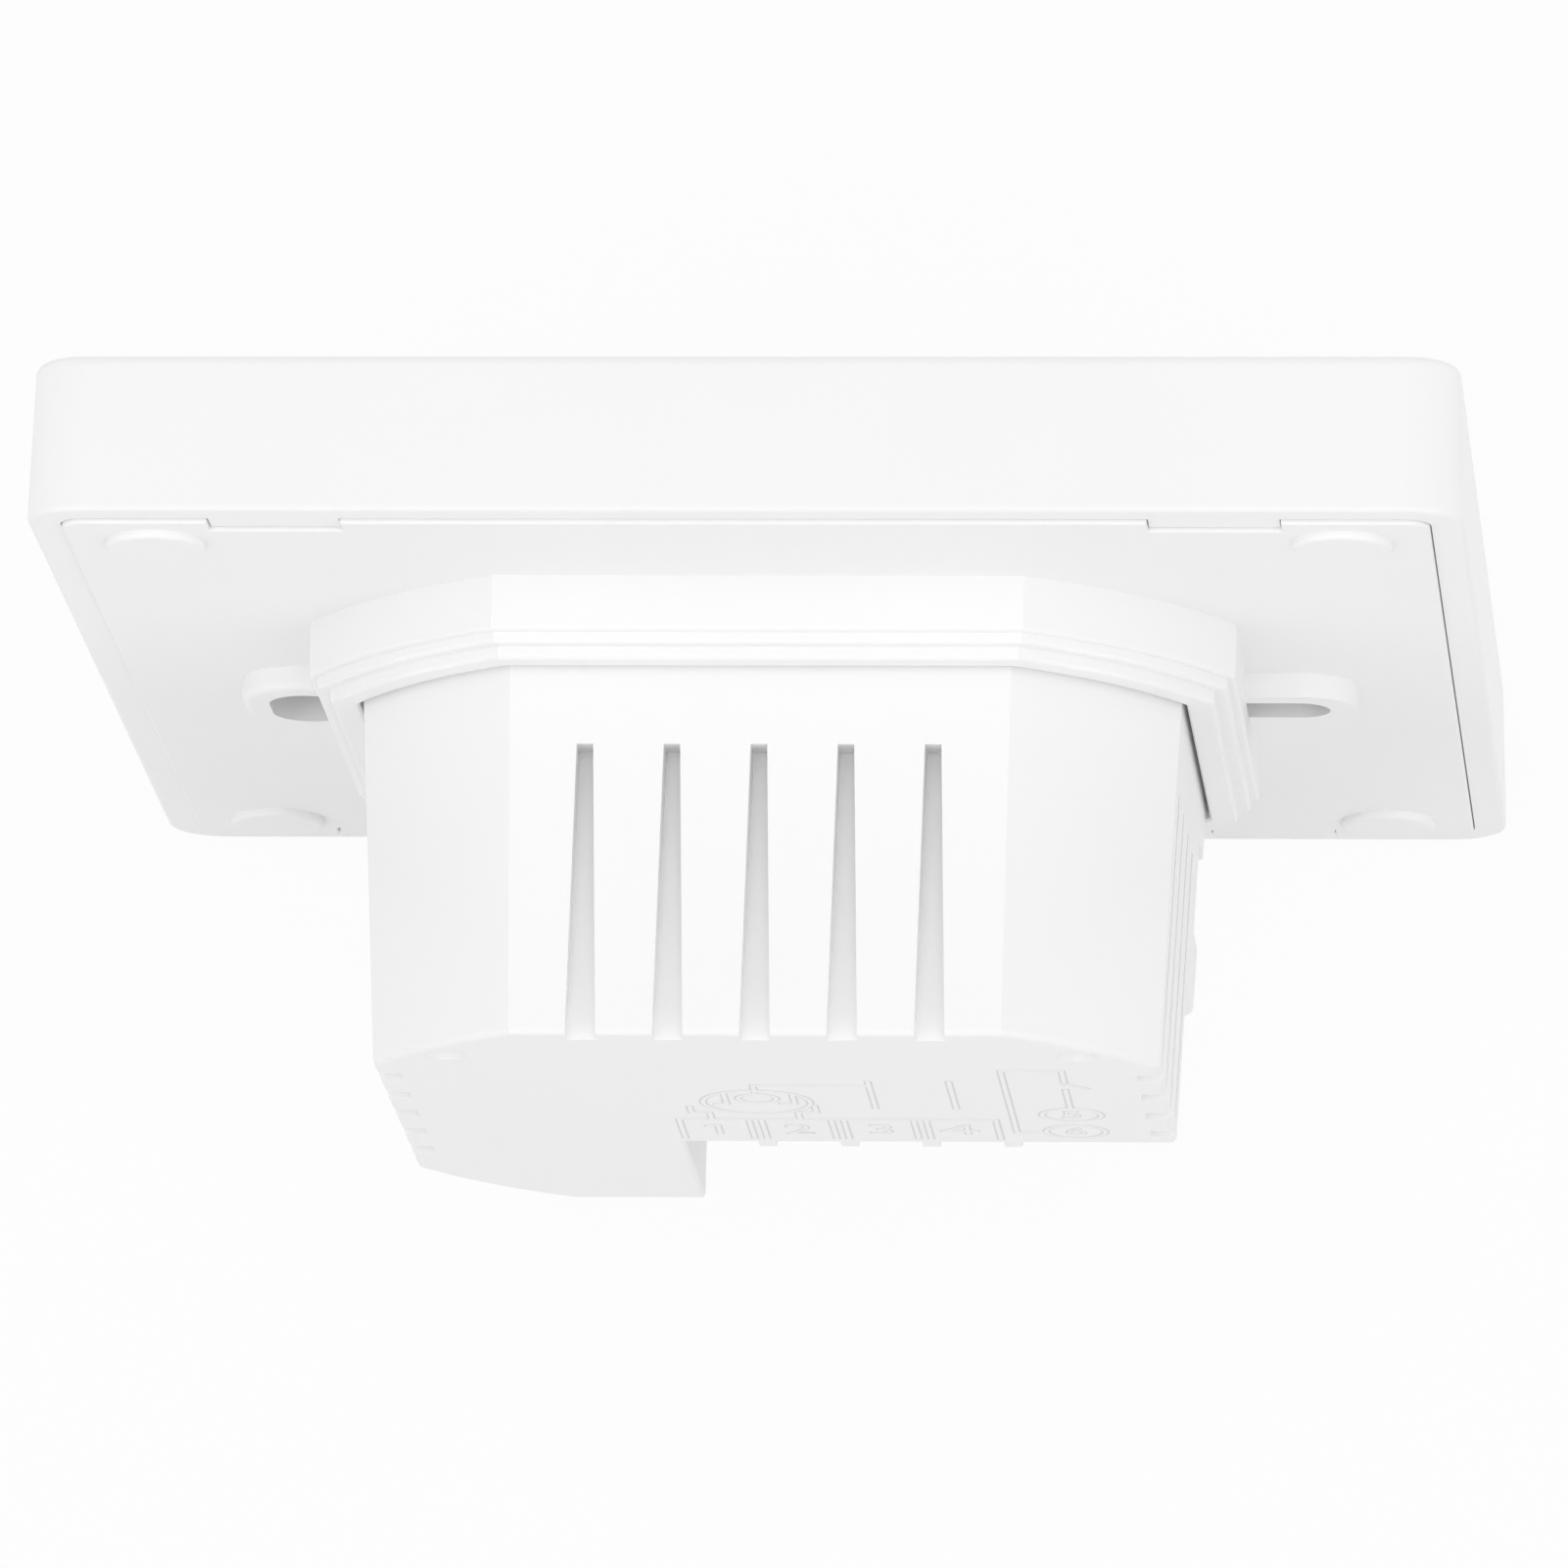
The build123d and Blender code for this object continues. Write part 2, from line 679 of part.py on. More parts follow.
with BuildPart() as rear_housing:
    with BuildSketch(at(flange_front)):
        cut_square(housing_half + flange_width, housing_radius + flange_width)
        with PolarLocations(housing_screw_circle, 4, start_angle=45):
            Circle(tab_radius)
    extrude(amount=-flange_thickness)
    with BuildSketch(at(flange_rear)):
        cut_square(housing_half, housing_radius)
    extrude(amount=flange_rear)
    with BuildSketch(at(0)):
        cut_square(housing_half, housing_radius)
    extrude(amount=-housing_depth, taper=housing_draft)
    # Terminal recess, open to the wall side, the bottom and the -X side
    with BuildSketch(at(recess_floor)):
        with Locations((recess_left, recess_top)):
            Rectangle(recess_reach, recess_reach, align=(Align.MAX, Align.MAX))
    extrude(amount=-(housing_depth - recess_floor), mode=Mode.SUBTRACT)
    fillet(rear_housing.faces().sort_by(Axis.Y)[-1].edges(), housing_edge)
    recess_outline = rear_housing.edges().filter_by(
        lambda edge: abs(edge.center().Y - recess_floor) < fit_gap
        and edge.center().Z < recess_top - fit_gap and edge.center().X < recess_left - fit_gap)
    fillet(recess_outline, recess_edge)
    add(cavity.part, mode=Mode.SUBTRACT)
    # Posts for the power board
    with BuildSketch(at(power_board_rear)):
        with Locations(post_places):
            Circle(post_radius)
    extrude(amount=-(housing_depth - housing_wall - power_board_rear))
    with BuildSketch(at(power_board_rear)):
        with Locations(post_places):
            Circle(board_screw_radius + pilot_gap)
    extrude(amount=-(power_screw_length - power_board_thickness + hole_gap), mode=Mode.SUBTRACT)
    # Moulded grooves, five on the top and five on each side
    with BuildSketch(Plane.XY.offset(groove_floor)):
        for offset_x in groove_offsets:
            with BuildLine():
                Polyline([(offset_x + across, along) for along, across in groove_shape], close=True)
            make_face()
    extrude(amount=housing_half, mode=Mode.SUBTRACT)
    for side, offsets in side_grooves.items():
        with BuildSketch(Plane.YZ.offset(side * groove_floor)):
            for offset_z in offsets:
                height = side_groove_rise + offset_z
                with BuildLine():
                    Polyline([(along, height + across) for along, across in groove_shape], close=True)
                make_face()
        extrude(amount=side * housing_half, mode=Mode.SUBTRACT)
    # Barrier ribs on the wall over the terminals
    for rib_x in rib_places:
        with BuildSketch(Plane.YZ.offset(rib_x - rib_width / 2)):
            with BuildLine():
                Polyline(
                    (housing_depth - rib_drop, recess_top + housing_edge),
                    (housing_depth - rib_drop, recess_top - rib_reach),
                    (recess_floor - housing_edge, recess_top - rib_foot),
                    (recess_floor - housing_edge, recess_top + housing_edge),
                    close=True,
                )
            make_face()
        extrude(amount=rib_width)
    # Openings in the recess floor for the two terminal blocks
    with BuildSketch(at(recess_floor - housing_wall)):
        with Locations((recess_left, mains_front - block_gap)):
            Rectangle(mains_count * mains_pitch, mains_depth + 2 * block_gap,
                      align=(Align.MAX, Align.MIN))
        with Locations((contact_left + block_gap, contact_front - block_gap)):
            Rectangle(contact_count * contact_pitch + 2 * block_gap, contact_depth + 2 * block_gap,
                      align=(Align.MAX, Align.MIN))
    extrude(amount=-housing_wall, mode=Mode.SUBTRACT)
    # Wire windows below the terminals
    with BuildSketch(Plane.XY.offset(-housing_half)):
        with Locations([(x, entry_middle) for x, z in mains_places]):
            Rectangle(mains_pitch - window_web, entry_height + 2 * window_margin)
        with Locations([(x, entry_middle) for x, z in contact_places]):
            Rectangle(contact_pitch - window_web, entry_height)
    extrude(amount=housing_half + mains_front - block_gap, mode=Mode.SUBTRACT)
    # Latch pocket on the -X side and two dimples on the label face
    with BuildSketch(Plane.YZ.offset(-half_at(pocket_start + pocket_length) + pocket_depth)):
        with Locations((pocket_start, pocket_top)):
            Rectangle(pocket_length, pocket_height, align=(Align.MIN, Align.MAX))
    extrude(amount=-2 * pocket_depth, mode=Mode.SUBTRACT)
    with BuildSketch(at(housing_depth)):
        with Locations((dimple_x, dimple_z), (-dimple_x, dimple_z)):
            Circle(dimple_radius)
    extrude(amount=dimple_depth, mode=Mode.SUBTRACT)
    # Countersunk holes in the flange's tabs
    with BuildSketch(at(flange_front)):
        with PolarLocations(housing_screw_circle, 4, start_angle=45):
            Circle(board_screw_radius + hole_gap)
    extrude(amount=-flange_thickness, mode=Mode.SUBTRACT)
    with BuildSketch(at(flange_front)):
        with PolarLocations(housing_screw_circle, 4, start_angle=45):
            Circle(housing_screw_head + hole_gap)
    extrude(amount=-(housing_screw_head - board_screw_radius), taper=45, mode=Mode.SUBTRACT)
finish(rear_housing.part, "rear_housing")

with BuildPart() as housing_screws:
    with BuildSketch(at(flange_front)):
        with PolarLocations(housing_screw_circle, 4, start_angle=45):
            Circle(housing_screw_head)
    extrude(amount=-(housing_screw_head - board_screw_radius), taper=45)
    with BuildSketch(at(flange_front)):
        with PolarLocations(housing_screw_circle, 4, start_angle=45):
            Circle(board_screw_radius)
    extrude(amount=-housing_screw_length)
    with BuildSketch(at(flange_front)):
        with PolarLocations(housing_screw_circle, 4, start_angle=45):
            drive_cross()
    extrude(amount=-recess_depth, mode=Mode.SUBTRACT)
finish(housing_screws.part, "housing_screws")

# Power board, with a hole for each contact tail
tail_z_step = bar_tail + tail_radius
mains_tails = [(x, z + mains_cage_depth / 2 + tail_z_step) for x, z in mains_places]
contact_tails = [(x, z + contact_cage_depth / 2 + tail_z_step) for x, z in contact_places]
with BuildPart() as power_board:
    with BuildSketch(at(power_board_rear)):
        inset = housing_wall + power_board_gap
        cut_square(half_at(power_board_rear) - inset, radius_at(power_board_rear) - inset)
        with Locations(post_places):
            Circle(board_screw_radius + hole_gap, mode=Mode.SUBTRACT)
        with Locations(mains_tails + contact_tails):
            Circle(tail_radius + fit_gap, mode=Mode.SUBTRACT)
    extrude(amount=power_board_thickness)
finish(power_board.part, "power_board")
finish(pan_screws(post_places, power_board_front, -power_screw_length), "power_board_screws")


def terminal_block(places, tails, pitch, front, depth, cage_width, cage_depth, screw, head):
    """Moulded block whose cells each hold a cage, a captive screw and a contact."""
    left = places[0][0] + pitch / 2
    right = places[-1][0] - pitch / 2
    middle = (left + right) / 2
    width = left - right - 2 * block_gap
    cage_back = places[0][1] + cage_depth / 2 + cage_gap
    cage_mouth = places[0][1] - cage_depth / 2 - cage_gap
    with BuildPart() as block:
        with BuildSketch(at(power_board_rear)):
            with Locations((middle, front)):
                Rectangle(width, depth, align=(Align.CENTER, Align.MIN))
        extrude(amount=-(recess_floor - power_board_rear))
        # Barriers between neighbouring screws
        with BuildSketch(at(recess_floor)):
            with Locations([(x - pitch / 2, front) for x, z in places[:-1]]):
                Rectangle(barrier_width, depth, align=(Align.CENTER, Align.MIN))
        extrude(amount=-barrier_height)
        with BuildSketch(at(power_board_rear)):
            with Locations(places):
                Rectangle(cage_width + 2 * cage_gap, cage_depth + 2 * cage_gap)
        extrude(amount=-(roof - power_board_rear), mode=Mode.SUBTRACT)
        with BuildSketch(at(roof)):
            with Locations(places):
                Circle(screw + head_gap)
        extrude(amount=-neck_depth, mode=Mode.SUBTRACT)
        with BuildSketch(at(head_seat)):
            with Locations(places):
                Circle(head + head_gap)
        extrude(amount=-(recess_floor - head_seat), mode=Mode.SUBTRACT)
        # Wire entries, from the front wall into the cage's window
        with BuildSketch(Plane.XY.offset(front)):
            with Locations([(x, entry_middle) for x, z in places]):
                Rectangle(cage_width - wire_width_gap, entry_height)
        extrude(amount=cage_mouth - front, taper=entry_taper, mode=Mode.SUBTRACT)
        # Seats of the contacts and of their tails
        with BuildSketch(Plane.XY.offset(cage_back)):
            with Locations([(x, (bar_front + bar_rear) / 2) for x, z in places]):
                Rectangle(bar_width(cage_width) + fit_gap, bar_thickness + fit_gap)
        extrude(amount=bar_tail + 2 * tail_radius + fit_gap, mode=Mode.SUBTRACT)
        with BuildSketch(at(power_board_rear)):
            with Locations(tails):
                Circle(tail_radius + fit_gap)
        extrude(amount=-(bar_rear - power_board_rear), mode=Mode.SUBTRACT)
    return block.part


def bar_width(cage_width):
    """Width of the contact that passes through a cage's window."""
    return cage_width - 2 * cage_side - 2 * bar_gap


def contact_bar(place, tail, cage_width, cage_depth):
    """Flat contact over the wire, with a round tail to the board."""
    x, z = place
    start = z - cage_depth / 2
    with BuildPart() as bar:
        with BuildSketch(at(bar_front)):
            with Locations((x, start)):
                Rectangle(bar_width(cage_width), tail[1] + tail_radius - start,
                          align=(Align.CENTER, Align.MIN))
        extrude(amount=-bar_thickness)
        with BuildSketch(at(bar_front)):
            with Locations(tail):
                Circle(tail_radius)
        extrude(amount=tail_length)
    return bar.part


def clamp_cage(place, cage_width, cage_depth, screw):
    """Rising clamp: a tapped top wall over a window for the wire."""
    x, z = place
    with BuildPart() as cage:
        with BuildSketch(at(cage_rest_bottom)):
            with Locations(place):
                Rectangle(cage_width, cage_depth)
        extrude(amount=-cage_height)
        fillet(cage.edges().filter_by(Axis.Y), cage_edge)
        window = cage_height - cage_top - cage_floor
        with BuildSketch(Plane.XY.offset(z - cage_depth / 2)):
            with Locations((x, cage_rest_bottom + cage_floor)):
                Rectangle(cage_width - 2 * cage_side, window, align=(Align.CENTER, Align.MIN))
        extrude(amount=cage_depth, mode=Mode.SUBTRACT)
        # The tapped hole also grooves the side walls, which rise past the screw's end
        with BuildSketch(at(cage_rest_top)):
            with Locations(place):
                Circle(screw + thread_gap)
        extrude(amount=cage_top + cage_travel + bar_gap, mode=Mode.SUBTRACT)
    return cage.part


def terminal_screw(place, screw, head):
    """Captive screw with a slotted head, driven from the wall side."""
    x, z = place
    seat = head_seat + bar_gap / 2
    top = seat + head_depth
    with BuildPart() as body:
        with BuildSketch(at(seat)):
            with Locations(place):
                Circle(head)
        extrude(amount=-head_depth)
        chamfer(body.faces().sort_by(Axis.Y)[-1].edges(), head_slot_depth / 4)
        with BuildSketch(at(top)):
            with Locations(place):
                Rectangle(3 * head, head_slot_width)
        extrude(amount=head_slot_depth, mode=Mode.SUBTRACT)
        with BuildSketch(at(seat)):
            with Locations(place):
                Circle(screw)
        extrude(amount=seat - bar_rear - bar_gap)
    return body.part


blocks = [
    ("terminal_block", mains_places, mains_tails, mains_pitch, mains_front, mains_depth,
     mains_cage_width, mains_cage_depth, mains_screw_radius, mains_head_radius),
    ("contact_terminal_block", contact_places, contact_tails, contact_pitch, contact_front,
     contact_depth, contact_cage_width, contact_cage_depth, contact_screw_radius, contact_head_radius),
]
bars = []
number = 1
for name, places, tails, pitch, front, depth, cage_width, cage_depth, screw, head in blocks:
    finish(terminal_block(places, tails, pitch, front, depth, cage_width, cage_depth, screw, head), name)
    for place, tail in zip(places, tails):
        bars.append(contact_bar(place, tail, cage_width, cage_depth))
        finish(clamp_cage(place, cage_width, cage_depth, screw), f"clamp_cage_{number}")
        finish(terminal_screw(place, screw, head), f"terminal_screw_{number}")
        number += 1
finish(Compound(children=bars), "contact_bars")


def housed_part(size, x, z):
    """Plain housed component that stands on the power board, its upright edges rounded."""
    width, height, depth = size
    with BuildPart() as body:
        with BuildSketch(at(power_board_rear)):
            with Locations((x, z)):
                RectangleRounded(width, height, case_corner)
        extrude(amount=-depth)
    return body.part


finish(housed_part(relay_size, relay_x, valve_relay_z), "valve_relay")
finish(housed_part(relay_size, relay_x, contact_relay_z), "contact_relay")
finish(housed_part(film_size, film_x, film_z), "mains_capacitor")
finish(housed_part(fuse_size, fuse_x, fuse_inset - board_room), "fuse")

with BuildPart() as converter_chips:
    with BuildSketch(at(power_board_front)):
        with Locations((converter_x, 0)):
            with GridLocations(0, converter_spacing, 1, 2):
                Rectangle(converter_size[0], converter_size[1])
    extrude(amount=converter_size[2])
finish(converter_chips.part, "converter_chips")

# Transformer: a ferrite core in the shape of an eight, wound on its middle leg
core_front = power_board_rear + bobbin_base
window_length = core_length - 2 * core_yoke
with BuildPart() as transformer_core:
    with BuildSketch(Plane.XY.offset(transformer_z - core_depth / 2)):
        with Locations((transformer_x, core_front)):
            Rectangle(core_width, core_length, align=(Align.CENTER, Align.MIN))
        with Locations((transformer_x, core_front + core_length / 2)):
            with GridLocations(core_leg + winding_wall + fit_gap, 0, 2, 1):
                Rectangle(winding_wall + fit_gap, window_length, mode=Mode.SUBTRACT)
    extrude(amount=core_depth)
finish(transformer_core.part, "transformer_core")

with BuildPart() as transformer_bobbin:
    with BuildSketch(at(power_board_rear)):
        with Locations((transformer_x, transformer_z)):
            Rectangle(bobbin_width, core_depth + 2 * winding_wall)
    extrude(amount=-bobbin_base)
    with BuildSketch(at(core_front + core_yoke + fit_gap / 2)):
        with Locations((transformer_x, transformer_z)):
            RectangleRounded(core_leg + 2 * winding_wall, core_depth + 2 * winding_wall, winding_corner)
            Rectangle(core_leg + fit_gap, core_depth + fit_gap, mode=Mode.SUBTRACT)
    extrude(amount=-(window_length - fit_gap))
finish(transformer_bobbin.part, "transformer_bobbin")

with BuildPart() as smoothing_capacitors:
    with BuildSketch(at(power_board_rear)):
        with Locations(can_places):
            Circle(can_radius)
    extrude(amount=-can_length)
    fillet(smoothing_capacitors.edges().filter_by(GeomType.CIRCLE).group_by(Axis.Y)[-1], can_radius / 8)
finish(smoothing_capacitors.part, "smoothing_capacitors")

with BuildPart() as varistor:
    with BuildSketch(Plane.XY.offset(varistor_z - varistor_depth / 2)):
        with Locations((varistor_x, power_board_rear + lead_height + varistor_radius)):
            Circle(varistor_radius)
    extrude(amount=varistor_depth)
    fillet(varistor.edges().filter_by(GeomType.CIRCLE), varistor_depth / 4)
    with BuildSketch(at(power_board_rear)):
        with Locations((varistor_x, varistor_z)):
            with GridLocations(lead_pitch, 0, 2, 1):
                Circle(lead_radius)
    extrude(amount=-(lead_height + varistor_radius))
finish(varistor.part, "varistor")
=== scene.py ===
"""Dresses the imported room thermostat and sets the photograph's camera, light and floor."""

import json
import logging
import math
from dataclasses import dataclass
from enum import Enum, auto

import bpy
from mathutils import Matrix, Vector


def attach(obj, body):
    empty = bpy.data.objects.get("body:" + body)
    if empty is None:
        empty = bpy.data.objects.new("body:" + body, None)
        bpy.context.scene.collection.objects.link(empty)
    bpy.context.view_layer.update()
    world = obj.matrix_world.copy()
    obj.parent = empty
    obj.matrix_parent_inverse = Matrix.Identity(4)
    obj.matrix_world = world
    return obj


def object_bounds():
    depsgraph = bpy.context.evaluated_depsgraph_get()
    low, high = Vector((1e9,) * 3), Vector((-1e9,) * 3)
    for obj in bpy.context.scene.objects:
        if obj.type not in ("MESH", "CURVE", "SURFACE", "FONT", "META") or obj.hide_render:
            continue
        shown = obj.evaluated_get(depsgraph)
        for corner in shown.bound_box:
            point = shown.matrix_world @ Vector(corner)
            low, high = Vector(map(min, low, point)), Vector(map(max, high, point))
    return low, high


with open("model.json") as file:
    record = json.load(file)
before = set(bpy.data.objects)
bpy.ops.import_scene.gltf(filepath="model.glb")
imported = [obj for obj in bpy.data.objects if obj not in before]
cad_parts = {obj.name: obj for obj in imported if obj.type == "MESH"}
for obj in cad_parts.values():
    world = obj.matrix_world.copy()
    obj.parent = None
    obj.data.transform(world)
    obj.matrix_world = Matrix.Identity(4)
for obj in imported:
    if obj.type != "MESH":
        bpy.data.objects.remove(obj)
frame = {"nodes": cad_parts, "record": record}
cad_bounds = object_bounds()

Colour = tuple[float, float, float]
Point = tuple[float, float, float]
Pair = tuple[float, float]
Piece = bpy.types.Object
Socket = bpy.types.NodeSocket
MM = 0.001
LOG = logging.getLogger("thermostat")


class Body(Enum):
    """Bodies of the frame that the scene's own pieces ride on."""

    WALL = "wall_unit"
    FRONT = "front_unit"


class Slot(Enum):
    """Material slots of the record that the scene's own pieces take their finish from."""

    HOUSING = "white_housing"
    DISPLAY = "lcd_glass"
    TIN = "tinned_steel"
    GOLD = "gold_pins"
    CERAMIC = "varistor_coat"


class KeySign(Enum):
    """Signs of the five touch keys, in their order along +X."""

    POWER = auto()
    MENU = auto()
    CLOCK = auto()
    DOWN = auto()
    UP = auto()


# Finishes

class NodeSheet:
    """The node tree of a material or world, with short ways to fill it in."""

    def __init__(self, tree: bpy.types.NodeTree) -> None:
        """Takes the tree."""
        self.tree = tree

    def node(self, kind: str, inputs: dict[str, object] | None = None,
             **settings: object) -> bpy.types.Node:
        """Adds a node.

        Args:
            kind: Short type name, such as TexNoise.
            inputs: Values of its input sockets by name.
            settings: Properties of the node itself.

        Returns:
            The new node.
        """
        node = self.tree.nodes.new("ShaderNode" + kind)
        for key, value in settings.items():
            setattr(node, key, value)
        for key, value in (inputs or {}).items():
            node.inputs[key].default_value = value
        return node

    def link(self, source: Socket, target: Socket) -> None:
        """Joins an output socket to an input socket."""
        self.tree.links.new(source, target)

    def solve(self, kind: str, *values: Socket | float) -> Socket:
        """Adds one step of arithmetic.

        Args:
            kind: Name of the operation.
            values: Sockets or numbers that it works on.

        Returns:
            The result's socket.
        """
        step = self.node("Math", operation=kind)
        for socket, value in zip(step.inputs, values):
            if isinstance(value, Socket):
                self.link(value, socket)
            else:
                socket.default_value = value
        return step.outputs[0]


class ShaderSheet(NodeSheet):
    """A new material, ready for a finish to fill in."""

    def __init__(self, name: str) -> None:
        """Starts the material.

        Args:
            name: Name of the material.
        """
        self.material = bpy.data.materials.new(name)
        self.material.use_nodes = True
        super().__init__(self.material.node_tree)
        self.shader = self.tree.nodes["Principled BSDF"]

    def feed(self, name: str, source: Socket) -> None:
        """Joins an output socket to an input of the shader."""
        self.link(source, self.shader.inputs[name])

    def plain(self, **values: object) -> None:
        """Sets inputs of the shader by name, with underscores for spaces."""
        for key, value in values.items():
            self.shader.inputs[key.replace("_", " ")].default_value = value

    def place(self) -> Socket:
        """Gives the object coordinates, in metres."""
        return self.node("TexCoord").outputs["Object"]

    def noise(self, scale: float, detail: float = 2.0) -> Socket:
        """Gives a noise factor on object coordinates.

        Args:
            scale: Features per metre.
            detail: Octaves.

        Returns:
            The factor's socket.
        """
        noise = self.node("TexNoise", {"Scale": scale, "Detail": detail})
        self.link(self.place(), noise.inputs["Vector"])
        return noise.outputs["Fac"]

    def paint(self, factor: Socket, dark: Colour, light: Colour,
              ramp: Pair = (0.3, 0.7)) -> None:
        """Sets the colour between two by a factor.

        Args:
            factor: Socket that goes from 0 to 1.
            dark: Colour at the low end.
            light: Colour at the high end.
            ramp: Factors at which the change starts and ends.
        """
        node = self.node("ValToRGB")
        for stop, position, colour in zip(node.color_ramp.elements, ramp, (dark, light)):
            stop.position = position
            stop.color = (*colour, 1.0)
        self.link(factor, node.inputs["Fac"])
        self.feed("Base Color", node.outputs["Color"])

    def dull(self, factor: Socket, low: float, high: float) -> None:
        """Sets the roughness between two by a factor.

        Args:
            factor: Socket that goes from 0 to 1.
            low: Roughness at 0.
            high: Roughness at 1.
        """
        node = self.node("MapRange", {"To Min": low, "To Max": high})
        self.link(factor, node.inputs["Value"])
        self.feed("Roughness", node.outputs["Result"])

    def bump(self, height: Socket, distance: float, strength: float = 1.0) -> None:
        """Raises the surface by a height pattern.

        Args:
            height: Socket of the pattern.
            distance: Height of the pattern in metres.
            strength: Share of the bump that shows.
        """
        bump = self.node("Bump", {"Distance": distance, "Strength": strength})
        self.link(height, bump.inputs["Height"])
        self.feed("Normal", bump.outputs["Normal"])


def shade(colour: Colour, factor: float) -> Colour:
    """Gives the colour made lighter or darker by a factor."""
    return tuple(min(1.0, channel * factor) for channel in colour)


@dataclass(frozen=True)
class MouldedPlastic:
    """Injection-moulded plastic: a fine eroded grain, slightly uneven in gloss and tone."""

    name: str
    colour: Colour
    roughness: float = 0.38
    specular: float = 0.5
    grain: float = 0.000004
    grain_scale: float = 5200.0
    cloud_scale: float = 55.0
    tone_fall: float = 0.012
    gloss_swing: float = 0.04

    def build(self) -> bpy.types.Material:
        """Makes the material.

        Returns:
            The material.
        """
        sheet = ShaderSheet(self.name)
        cloud = sheet.noise(self.cloud_scale)
        sheet.paint(cloud, shade(self.colour, 1 - self.tone_fall), self.colour)
        sheet.dull(cloud, self.roughness - self.gloss_swing, self.roughness + self.gloss_swing)
        sheet.bump(sheet.noise(self.grain_scale), self.grain)
        sheet.plain(Specular_IOR_Level=self.specular)
        return sheet.material


@dataclass(frozen=True)
class WorkedMetal:
    """Plated or tinned metal with fine drawing lines and dull spots."""

    name: str
    colour: Colour
    roughness: float = 0.32
    line_scale: float = 2600.0
    line_stretch: Point = (1.0, 0.08, 1.0)
    line_octaves: float = 2.0
    line_height: float = 0.000003
    spot_scale: float = 420.0
    spot_octaves: float = 4.0
    spot_tone: float = 0.82
    gloss_swing: Pair = (-0.08, 0.14)

    def build(self) -> bpy.types.Material:
        """Makes the material.

        Returns:
            The material.
        """
        sheet = ShaderSheet(self.name)
        stretch = sheet.node("Mapping", {"Scale": self.line_stretch})
        sheet.link(sheet.place(), stretch.inputs["Vector"])
        lines = sheet.node("TexNoise", {"Scale": self.line_scale, "Detail": self.line_octaves})
        sheet.link(stretch.outputs["Vector"], lines.inputs["Vector"])
        spots = sheet.noise(self.spot_scale, self.spot_octaves)
        sheet.paint(spots, shade(self.colour, self.spot_tone), self.colour)
        sheet.dull(spots, *(self.roughness + swing for swing in self.gloss_swing))
        sheet.bump(lines.outputs["Fac"], self.line_height)
        sheet.plain(Metallic=1.0)
        return sheet.material


@dataclass(frozen=True)
class BoardLaminate:
    """Circuit board: solder mask over bundles of copper tracks that run across or upwards."""

    name: str
    colour: Colour
    track_scale: float = 420.0
    track_edge: Pair = (0.45, 0.6)
    track_tone: float = 1.8
    track_height: float = 0.00002
    track_relief: float = 0.5
    bundle_scale: float = 75.0
    bare_share: float = 0.62
    roughness: float = 0.28
    specular: float = 0.55

    def build(self) -> bpy.types.Material:
        """Makes the material.

        Returns:
            The material.
        """
        sheet = ShaderSheet(self.name)
        bundles = sheet.node("TexVoronoi", {"Scale": self.bundle_scale}, distance="MANHATTAN")
        sheet.link(sheet.place(), bundles.inputs["Vector"])
        split = sheet.node("SeparateColor")
        sheet.link(bundles.outputs["Color"], split.inputs[0])
        layers = []
        for way, channel in (("X", "Red"), ("Z", "Green")):
            tracks = sheet.node("TexWave", {"Scale": self.track_scale}, bands_direction=way)
            sheet.link(sheet.place(), tracks.inputs["Vector"])
            here = sheet.solve("GREATER_THAN", split.outputs[channel], self.bare_share)
            layers.append(sheet.solve("MULTIPLY", tracks.outputs["Fac"], here))
        relief = sheet.solve("MAXIMUM", *layers)
        sheet.paint(relief, self.colour, shade(self.colour, self.track_tone), self.track_edge)
        sheet.bump(relief, self.track_height, self.track_relief)
        sheet.plain(Roughness=self.roughness, Specular_IOR_Level=self.specular)
        return sheet.material


@dataclass(frozen=True)
class Coating:
    """Smooth coat, dip, tape or moulded case, with faint waves and specks."""

    name: str
    colour: Colour
    roughness: float = 0.3
    wave: float = 0.00001
    wave_scale: float = 900.0
    specks: float = 0.1
    octaves: float = 4.0
    gloss_swing: Pair = (-0.05, 0.08)

    def build(self) -> bpy.types.Material:
        """Makes the material.

        Returns:
            The material.
        """
        sheet = ShaderSheet(self.name)
        waves = sheet.noise(self.wave_scale, self.octaves)
        sheet.paint(waves, shade(self.colour, 1 - self.specks),
                    shade(self.colour, 1 + self.specks))
        sheet.dull(waves, *(self.roughness + swing for swing in self.gloss_swing))
        sheet.bump(waves, self.wave)
        return sheet.material


@dataclass(frozen=True)
class StripedElastomer:
    """Connector rubber with thin conducting stripes across it."""

    name: str
    dark: Colour = (0.02, 0.02, 0.02)
    light: Colour = (0.55, 0.55, 0.56)
    stripe_scale: float = 700.0
    stripe_edge: Pair = (0.4, 0.6)
    roughness: float = 0.62

    def build(self) -> bpy.types.Material:
        """Makes the material.

        Returns:
            The material.
        """
        sheet = ShaderSheet(self.name)
        wave = sheet.node("TexWave", {"Scale": self.stripe_scale}, bands_direction="X")
        sheet.link(sheet.place(), wave.inputs["Vector"])
        sheet.paint(wave.outputs["Fac"], self.dark, self.light, self.stripe_edge)
        sheet.plain(Roughness=self.roughness)
        return sheet.material


